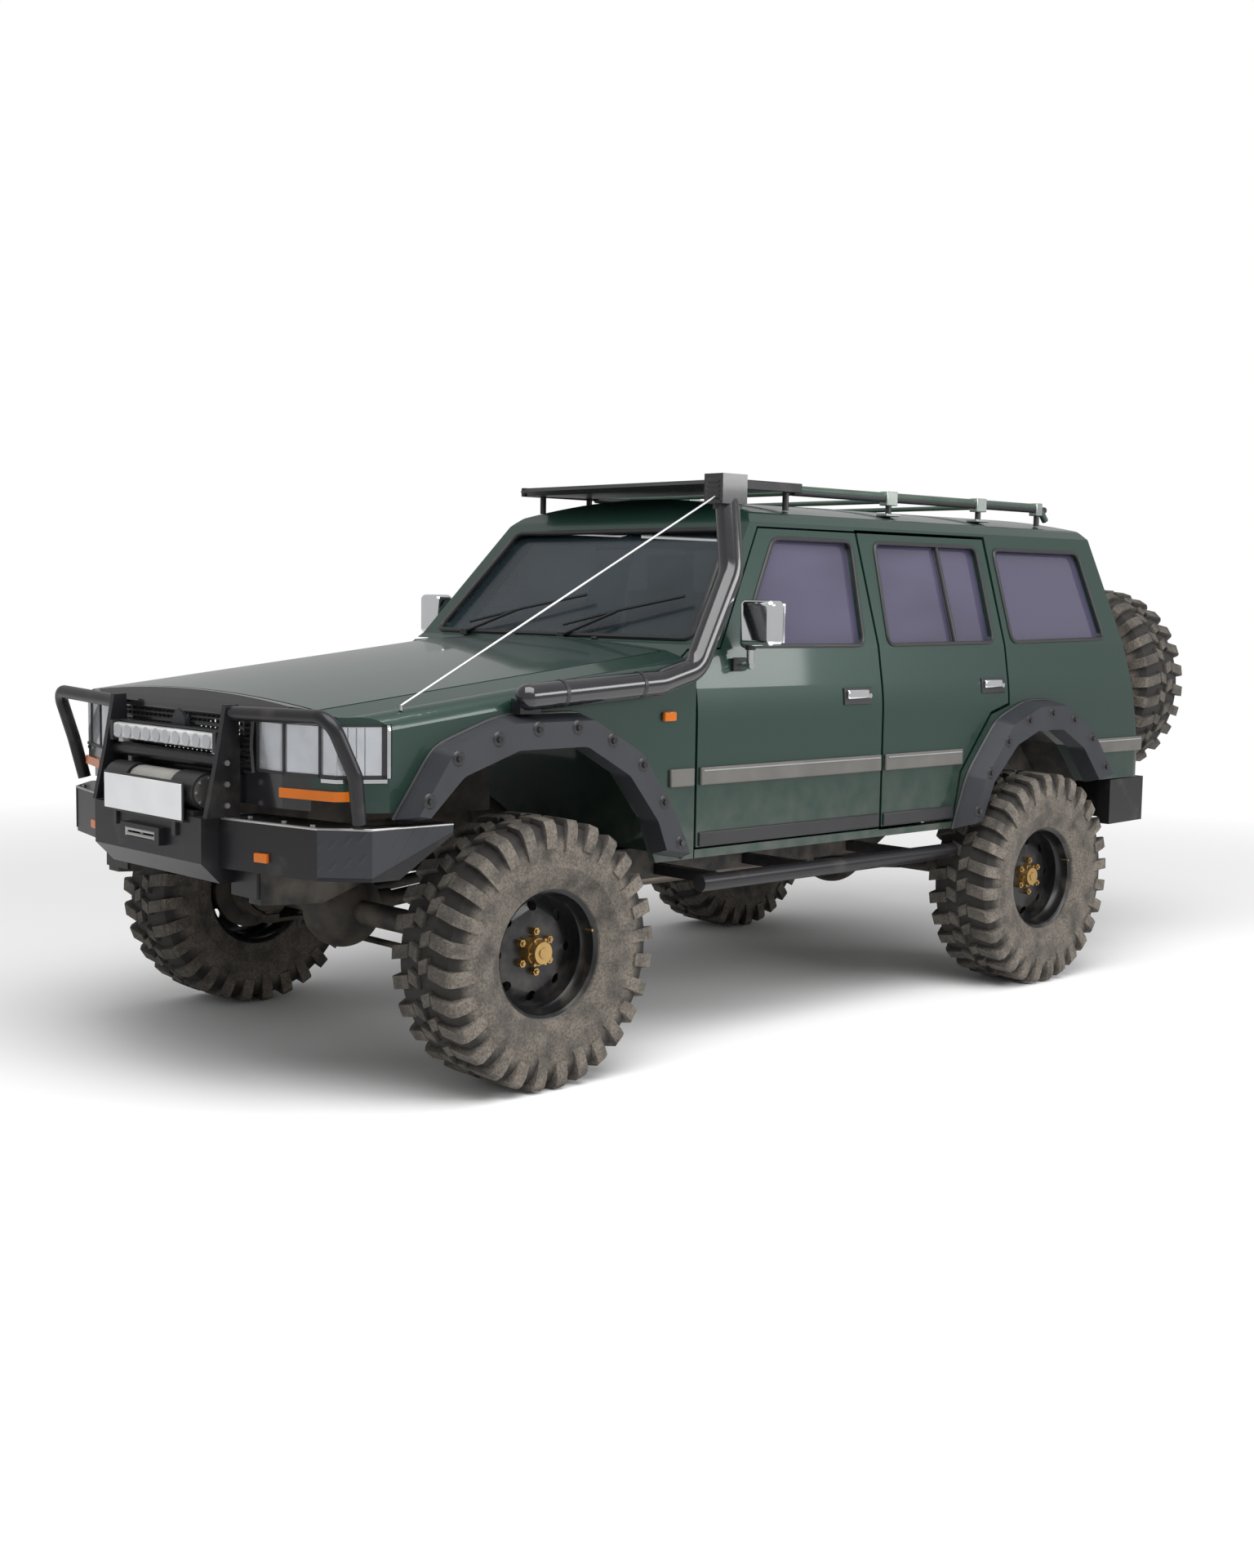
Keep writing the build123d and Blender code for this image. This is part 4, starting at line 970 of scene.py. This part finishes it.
class CAR_OT_bumper(bpy.types.Operator):
    """Build the bumper's tread plates, number plate, winch rope, light bar cells and bolts"""

    bl_idname = "car.bumper"
    bl_label = "Bumper and winch"

    def plates(self):
        """Tread plates on the wings and the blank number plate"""
        with made("wing_tread_plate", "bar_plate") as mesh:
            plan = ((0.803, -0.778, 0.766), (0.929, -0.657, 0.766), (0.949, -0.352, 0.896))
            wall(mesh, [[place(x, y, z) for z in (low, 0.9215)] for x, y, low in plan], 0.003)
            mirrored_x(mesh)
        with made("wing_pale_edge", "bare_steel") as mesh:
            edge = [(0.372, -0.861), (0.800, -0.776), (0.926, -0.656), (0.946, -0.352)]
            bend_tube(mesh, [place(x, y, 0.9185) for x, y in edge], 0.0045, 8)
            mirrored_x(mesh)
        with made("number_plate_blank", "plate", bevel=0.001) as mesh:
            block(mesh, (-0.26, -0.9465, 0.905), (0.26, -0.9425, 1.025))
        with made("number_plate_frame", "trim_black") as mesh:
            block(mesh, (-0.268, -0.9425, 0.897), (0.268, -0.9385, 1.033))
            for x in (-0.2, 0.2):
                block(mesh, (x - 0.012, -0.940, 0.850), (x + 0.012, -0.930, 0.960))

    def winch(self):
        """Rope, drum ends and the rollers that the rope leaves through"""
        with made("winch_rope", "rope") as mesh:
            ends = (place(-0.142, WINCH_Y, WINCH_Z), place(0.142, WINCH_Y, WINCH_Z))
            coil_tube(mesh, *ends, "YZ", 0.052, 20, 14, 0.007, 6)
            bend_tube(mesh, (place(0.04, -0.905, 0.965), place(0.02, -0.925, 0.860),
                             place(0.0, -0.9485, 0.837)), 0.006, 8)
        with made("winch_ends_and_rollers", "bare_steel") as mesh:
            for x in (-0.298, 0.298):
                drum(mesh, place(x, WINCH_Y, WINCH_Z), 0.056, 0.010, sides=32)
                bolt_ring(mesh, place(x * 1.022, WINCH_Y, WINCH_Z), 0.046, 8, 0.005, 0.008)
            for z in (0.828, 0.847):
                drum(mesh, place(0, ROLLER_Y, z), 0.007, 0.19, sides=16)
            for x in (-0.098, 0.098):
                drum(mesh, place(x, ROLLER_Y, 0.8375), 0.007, 0.045, "Z", 16)

    def bar(self):
        """The light bar's cells and case, and the bumper's bolts"""
        with made("light_bar_cells", "reflector") as mesh:
            for i in range(10):
                drum(mesh, place(-0.297 + 0.066 * i, -0.8695, 1.165), 0.024, 0.006, "Y", 24, 0.018)
        with made("light_bar_case", "trim_black") as mesh:
            for x in (-0.346, 0.346):
                block(mesh, (x - 0.010, -0.872, 1.130), (x + 0.010, -0.812, 1.199))
            block(mesh, (-0.352, -0.846, 1.196), (0.352, -0.816, 1.2005))
        with made("bumper_bolts", "bare_steel") as mesh:
            for x in (-0.388, 0.388):
                for z in (0.96, 1.03, 1.10):
                    drum(mesh, place(x, -0.850, z), 0.010, 0.012, sides=6)
            for x in (0.45, 0.62, 0.76):
                for sign in (-1, 1):
                    drum(mesh, place(sign * x, -0.80 + 0.11 * (x - 0.45), 0.9245), 0.009, 0.008, "Z", 6)

    def execute(self, context):
        self.plates()
        self.winch()
        self.bar()
        return {"FINISHED"}


class CAR_OT_screen(bpy.types.Operator):
    """Build the windscreen's seal, wipers, washer jets and the inside mirror"""

    bl_idname = "car.screen"
    bl_label = "Windscreen trim"

    def execute(self, context):
        with made("windscreen_seal", "trim_black") as mesh:
            corners = ((-0.775, 1.505), (-0.64, 1.925), (0.64, 1.925), (0.775, 1.505))
            outline_tube(mesh, [place(x, screen_y(z), z) for x, z in corners], 0.05, 0.011)
        with made("wipers", "trim_black") as mesh:
            for foot, elbow, tip in ((-0.56, -0.30, 0.06), (0.06, 0.30, 0.62)):
                low = place(foot, screen_y(1.500) - 0.020, 1.502)
                bend_tube(mesh, (low, place(elbow, screen_y(1.600) - 0.022, 1.600)), 0.0065, 8)
                drum(mesh, low, 0.016, 0.024, "Z", 16)
                first = place(elbow - 0.27, screen_y(1.545) - 0.014, 1.545)
                last = place(tip, screen_y(1.665) - 0.014, 1.665)
                bend_tube(mesh, (first, (first + last) / 2 + Vector((0, -0.006, 0.004)), last), 0.0065, 6)
        with made("screen_fittings", "trim_black", bevel=0.004) as mesh:
            for x in (-0.25, 0.25):
                block(mesh, (x - 0.012, 0.872, 1.490), (x + 0.012, 0.895, 1.502))
            block(mesh, (-0.11, 1.205, 1.800), (0.11, 1.225, 1.860))
        return {"FINISHED"}


# Roof, intake, mirrors and rear

SPRING_X = 0.575
SPRING_R = 0.066
RAIL_X = 0.590
RAIL_Z = 2.100
REAR_LEAN = Matrix.Rotation(math.radians(12.5), 4, "X")
REAR_LAMPS = (
    # name, finish, z from, z to
    ("stop", "red", 1.085, 1.180), ("turn", "amber", 1.010, 1.080), ("reverse", "pale_lens", 0.945, 1.005),
)


def rear_y(z):
    """Place of the rear doors' outer face at a height."""
    return 3.835 - 0.2217 * (z - 0.705)


class CAR_OT_roof(bpy.types.Operator):
    """Build the roof tray's slats and lips, the rails' brackets, and the intake's head"""

    bl_idname = "car.roof"
    bl_label = "Roof and intake"

    def rack(self):
        """Slats of the tray, and the rails with their clips"""
        with made("roof_tray_slats", "bar_black", bevel=0.003) as mesh:
            for i in range(7):
                y = 1.272 + 0.060 * i
                block(mesh, (-0.612, y - 0.020, 2.1055), (0.612, y + 0.020, 2.1135))
            for x in (-0.612, 0.612):
                block(mesh, (x - 0.012, 1.232, 2.084), (x + 0.012, 1.662, 2.1215))
        with made("roof_rails", "green_rail") as mesh:
            for x in (-RAIL_X, RAIL_X):
                line = eased([place(x, 1.668, RAIL_Z), place(x, 3.345, RAIL_Z), place(x, 3.400, 2.040)], 0.04)
                bend_tube(mesh, line, 0.0155, 12)
            for y in (1.85, 2.56, 3.20):
                bend_tube(mesh, (place(-RAIL_X, y, RAIL_Z), place(RAIL_X, y, RAIL_Z)), 0.011, 10)
        with made("roof_rail_clips", "alloy", bevel=0.003) as mesh:
            for x in (-RAIL_X, RAIL_X):
                for y in (2.25, 2.88):
                    block(mesh, (x - 0.022, y - 0.035, 2.060), (x + 0.022, y + 0.035, 2.1195))
                    block(mesh, (x - 0.030, y - 0.045, 2.014), (x + 0.030, y + 0.045, 2.026))
                block(mesh, (x - 0.022, 3.300, 2.060), (x + 0.022, 3.345, 2.1175))

    def intake(self):
        """Head, front cap and bands of the raised intake"""
        with made("intake_head_and_cap", "gloss_black") as mesh:
            head = block(mesh, (0.803, 0.918, 2.010), (0.897, 1.049, 2.114))
            for vert in head:
                if vert.co.y < place(0, 0.95, 0).y and vert.co.z > 2.05:
                    vert.co.z -= 0.006
            bmesh.ops.bevel(mesh, geom=mesh.edges[:], offset=0.018, affect="EDGES", segments=4, profile=0.5,
                            material=-1)
            for z in (2.032, 2.050, 2.068, 2.086):
                block(mesh, (0.818, 0.9135, z - 0.003), (0.882, 0.921, z + 0.003))
            bmesh.ops.create_uvsphere(mesh, u_segments=32, v_segments=16, radius=0.0462,
                                      matrix=Matrix.Translation(place(0.949, -0.040, 1.322)))
        with made("intake_bands", "trim_black") as mesh:
            for x, y, z in ((0.949, 0.10, 1.3308), (0.949, 0.46, 1.3523)):
                drum(mesh, place(x, y, z), 0.0475, 0.016, "Y", 32)
            drum(mesh, place(0.8505, 0.989, 1.998), 0.050, 0.022, "Z", 32)

    def execute(self, context):
        self.rack()
        self.intake()
        return {"FINISHED"}


class CAR_OT_mirrors(bpy.types.Operator):
    """Build the mirrors' glass and feet"""

    bl_idname = "car.mirrors"
    bl_label = "Mirrors"

    def execute(self, context):
        turn = Matrix.Rotation(math.radians(8), 4, "Z")
        for side, sign in SIDES:
            body = "door_front_" + side
            with made("mirror_glass_" + side, "reflector", body, sign=sign, bevel=0.004) as mesh:
                block(mesh, (0.917, 1.0905, 1.497), (1.053, 1.0965, 1.643), turn)
            with made("mirror_foot_" + side, "trim_black", body, sign=sign, bevel=0.004) as mesh:
                block(mesh, (0.879, 1.005, 1.390), (0.892, 1.075, 1.440))
                drum(mesh, place(0.940, 1.040, 1.480), 0.020, 0.022, "Z", 20)
        return {"FINISHED"}


class CAR_OT_rear(bpy.types.Operator):
    """Build the rear lamps, window seals, blank plate, door pull and hinge straps"""

    bl_idname = "car.rear"
    bl_label = "Rear trim"

    def execute(self, context):
        for side, sign in SIDES:
            for name, finish, z0, z1 in REAR_LAMPS:
                y = rear_y((z0 + z1) / 2)
                with made(f"rear_{name}_lamp_{side}", finish, sign=sign, bevel=0.006) as mesh:
                    block(mesh, (0.812, y - 0.030, z0), (0.872, y + 0.006, z1), REAR_LEAN)
            body = "rear_door_" + side
            with made("rear_hinge_straps_" + side, "trim_black", body, sign=sign, bevel=0.003) as mesh:
                for z in (0.92, 1.30):
                    y = rear_y(z)
                    block(mesh, (0.735, y + 0.001, z - 0.022), (0.797, y + 0.009, z + 0.022), REAR_LEAN)
        for (name, sign), x0 in zip(SIDES, (-0.020, 0.142)):
            x1, z0, z1 = 0.600, 1.510, 1.880
            low, high = rear_y(z0) + 0.003, rear_y(z1) + 0.003
            with made("rear_window_seal_" + name, "trim_black", "rear_door_" + name, sign=sign) as mesh:
                corners = ((x0, low, z0), (x0, high, z1), (x1, high, z1), (x1 + 0.09, low, z0))
                outline_tube(mesh, [place(*corner) for corner in corners], 0.04, 0.008)
        with made("rear_door_pull", "chrome", "rear_door_left", bevel=0.004) as mesh:
            y = rear_y(1.20)
            block(mesh, (-0.060, y - 0.002, 1.150), (0.020, y + 0.016, 1.180), REAR_LEAN)
        with made("rear_plate_blank", "plate", bevel=0.001) as mesh:
            block(mesh, (-0.26, 3.8655, 0.700), (0.26, 3.8690, 0.810))
            block(mesh, (-0.27, 3.8615, 0.693), (0.27, 3.8660, 0.817))
        return {"FINISHED"}


class CAR_OT_springs(bpy.types.Operator):
    """Build the four coil springs"""

    bl_idname = "car.springs"
    bl_label = "Coil springs"

    def execute(self, context):
        low = AXLE_HEIGHT + 0.074
        for end, y, high in (("front", 0.0, 0.727), ("rear", WHEELBASE, 0.742)):
            with made("coil_springs_" + end, "under") as mesh:
                ends = (place(SPRING_X, y, low), place(SPRING_X, y, high))
                coil_tube(mesh, *ends, "XY", SPRING_R, 5, 16, 0.0075, 8)
                mirrored_x(mesh)
        return {"FINISHED"}


# Cabin

SEATS = (
    # name, x middle, half width, y front, y back, cushion base and top, backrest top
    ("front_left", 0.4075, 0.2425, 1.34, 1.82, 0.94, 1.07, 1.69),
    ("front_right", -0.4075, 0.2425, 1.34, 1.82, 0.94, 1.07, 1.69),
    ("rear_bench", 0.0, 0.59, 2.32, 2.79, 1.08, 1.21, 1.75),
)
HEAD_RESTS = (
    # x, y, middle of the pad
    (0.4075, 1.935, 1.79), (-0.4075, 1.935, 1.79), (0.30, 2.905, 1.84), (-0.30, 2.905, 1.84),
)


class CAR_OT_seats(bpy.types.Operator):
    """Build the padded front seats and rear bench"""

    bl_idname = "car.seats"
    bl_label = "Seats"

    def execute(self, context):
        lean = Matrix.Rotation(math.radians(-4.6), 4, "X")
        for name, x, half, y0, y1, z0, z1, top in SEATS:
            mesh = bmesh.new()
            block(mesh, (x - half + 0.01, y0 + 0.025, z0 + 0.005), (x + half - 0.01, y1 - 0.025, z1 - 0.005))
            block(mesh, (x - half + 0.02, y1 + 0.02, z1 - 0.10), (x + half - 0.02, y1 + 0.14, top), lean)
            bmesh.ops.subdivide_edges(mesh, edges=mesh.edges[:], cuts=2, use_grid_fill=True)
            stands_for = ("seats",) if name == "front_left" else ()
            piece = add_piece("seat_pads_" + name, mesh, "cloth", "root", *stands_for, bevel=0.02)
            soft = piece.modifiers.new("Stuffing", "SUBSURF")
            soft.levels = soft.render_levels = 2
        with made("head_rests", "cabin", bevel=0.02) as mesh:
            for x, y, top in HEAD_RESTS:
                block(mesh, (x - 0.12, y - 0.03, top - 0.10), (x + 0.12, y + 0.03, top + 0.06))
                for post in (x - 0.05, x + 0.05):
                    bend_tube(mesh, (place(post, y, top - 0.20), place(post, y, top - 0.06)), 0.007, 8)
        return {"FINISHED"}


# Studio

CAMERA_PLACE = (5.744, -5.709, 1.662)
CAMERA_YAW = 46.833
CAMERA_DIP = 5.696
CAMERA_ROLL = 0.891


def studio_floor():
    """A plain pale ground that shows white behind the car."""
    material, tree, shader = new_material("studio_floor")
    fill(tree, shader, {"Base Color": (0.9, 0.9, 0.9, 1), "Roughness": 0.9})
    reach = add_node(tree, "VectorMath", {0: object_place(tree)}, operation="LENGTH").outputs["Value"]
    seen = add_node(tree, "LightPath", {}).outputs["Is Camera Ray"]
    white = add_node(tree, "Emission", {"Color": (1, 1, 1, 1)}).outputs["Emission"]
    fade = multiplied(tree, ramp(tree, reach, 3.2, 8.0), seen)
    both = add_node(tree, "MixShader", {"Fac": fade, 1: shader.outputs["BSDF"], 2: white})
    fill(tree, tree.nodes["Material Output"], {"Surface": both.outputs["Shader"]})
    mesh = bmesh.new()
    bmesh.ops.create_circle(mesh, cap_ends=True, segments=64, radius=60)
    data = bpy.data.meshes.new("studio_floor")
    mesh.to_mesh(data)
    mesh.free()
    data.materials.append(material)
    floor = bpy.data.objects.new("studio_floor", data)
    floor.location.z = -0.001
    bpy.context.scene.collection.objects.link(floor)


def studio_world(strength):
    """White to the camera, soft grey light on the car."""
    world = bpy.data.worlds.new("studio")
    bpy.context.scene.world = world
    world.use_nodes = True
    tree = world.node_tree
    rays = add_node(tree, "LightPath", {}).outputs
    shown = {0: rays["Is Camera Ray"], 1: rays["Is Transmission Ray"]}
    seen = add_node(tree, "Math", shown, operation="MAXIMUM").outputs[0]
    level = ramp(tree, seen, 0, 1, strength, 1.0)
    fill(tree, tree.nodes["Background"], {"Color": (1, 1, 1, 1), "Strength": level})


def studio_lamp(name, where, aim, size, power):
    """A large soft lamp turned to a point on the car."""
    data = bpy.data.lights.new(name, "AREA")
    data.shape = "RECTANGLE"
    data.size, data.size_y = size
    data.energy = power
    lamp = bpy.data.objects.new(name, data)
    lamp.location = where
    lamp.rotation_euler = (Vector(aim) - Vector(where)).to_track_quat("-Z", "Y").to_euler()
    bpy.context.scene.collection.objects.link(lamp)


def photo_camera(lens):
    """The camera at the photograph's own viewpoint."""
    yaw, dip, roll = (math.radians(a) for a in (CAMERA_YAW, CAMERA_DIP, CAMERA_ROLL))
    ahead = Vector((-math.sin(yaw) * math.cos(dip), math.cos(yaw) * math.cos(dip), -math.sin(dip)))
    right = ahead.cross(Vector((0, 0, 1))).normalized()
    up = right.cross(ahead)
    turned_right = right * math.cos(roll) + up * math.sin(roll)
    turned_up = up * math.cos(roll) - right * math.sin(roll)
    data = bpy.data.cameras.new("photo_camera")
    data.lens = lens
    data.sensor_width = 36
    camera = bpy.data.objects.new("photo_camera", data)
    turn = Matrix((turned_right, turned_up, -ahead)).transposed().to_4x4()
    camera.matrix_world = Matrix.Translation(CAMERA_PLACE) @ turn
    bpy.context.scene.collection.objects.link(camera)
    bpy.context.scene.camera = camera


class CAR_OT_stage(bpy.types.Operator):
    """Set the floor, the lamps, the world and the camera"""

    bl_idname = "car.stage"
    bl_label = "Studio"

    def execute(self, context):
        studio = context.scene.car_studio
        studio_floor()
        studio_world(studio.world)
        studio_lamp("key_lamp", (2.5, -2.0, 6.0), (0, 0, 1.0), (6.0, 5.0), studio.key_power)
        studio_lamp("side_lamp", (6.0, 2.5, 3.2), (0.5, 0.2, 1.1), (5.0, 1.6), studio.side_power)
        photo_camera(studio.lens)
        context.scene.view_settings.view_transform = "Standard"
        return {"FINISHED"}


class CAR_PT_panel(bpy.types.Panel):
    """Shows the car's finish colours, tyre sizes and studio settings, with a button for each building step"""

    bl_label = "Off-road estate car"
    bl_idname = "CAR_PT_panel"
    bl_space_type = "VIEW_3D"
    bl_region_type = "UI"
    bl_category = "Car"

    def draw(self, context):
        layout = self.layout
        for settings in (context.scene.car_finish, context.scene.car_tyre, context.scene.car_studio):
            column = layout.column(align=True)
            for prop in type(settings).__annotations__:
                column.prop(settings, prop)
        column = layout.column(align=True)
        for operator in OPERATORS:
            column.operator(operator.bl_idname)


OPERATORS = (
    CAR_OT_finishes,
    CAR_OT_tyres,
    CAR_OT_wheels,
    CAR_OT_side_trim,
    CAR_OT_flare_bolts,
    CAR_OT_lamps,
    CAR_OT_grille,
    CAR_OT_bumper,
    CAR_OT_screen,
    CAR_OT_roof,
    CAR_OT_mirrors,
    CAR_OT_rear,
    CAR_OT_springs,
    CAR_OT_seats,
    CAR_OT_stage,
)
SETTINGS = (("car_finish", CarFinish), ("car_tyre", CarTyre), ("car_studio", CarStudio))


def register():
    for name, group in SETTINGS:
        bpy.utils.register_class(group)
        setattr(bpy.types.Scene, name, bpy.props.PointerProperty(type=group))
    for operator in OPERATORS:
        bpy.utils.register_class(operator)
    bpy.utils.register_class(CAR_PT_panel)


def unregister():
    bpy.utils.unregister_class(CAR_PT_panel)
    for operator in reversed(OPERATORS):
        bpy.utils.unregister_class(operator)
    for name, group in reversed(SETTINGS):
        delattr(bpy.types.Scene, name)
        bpy.utils.unregister_class(group)


def main():
    register()
    for operator in OPERATORS:
        group, name = operator.bl_idname.split(".")
        getattr(getattr(bpy.ops, group), name)()


if __name__ == "__main__":
    main()
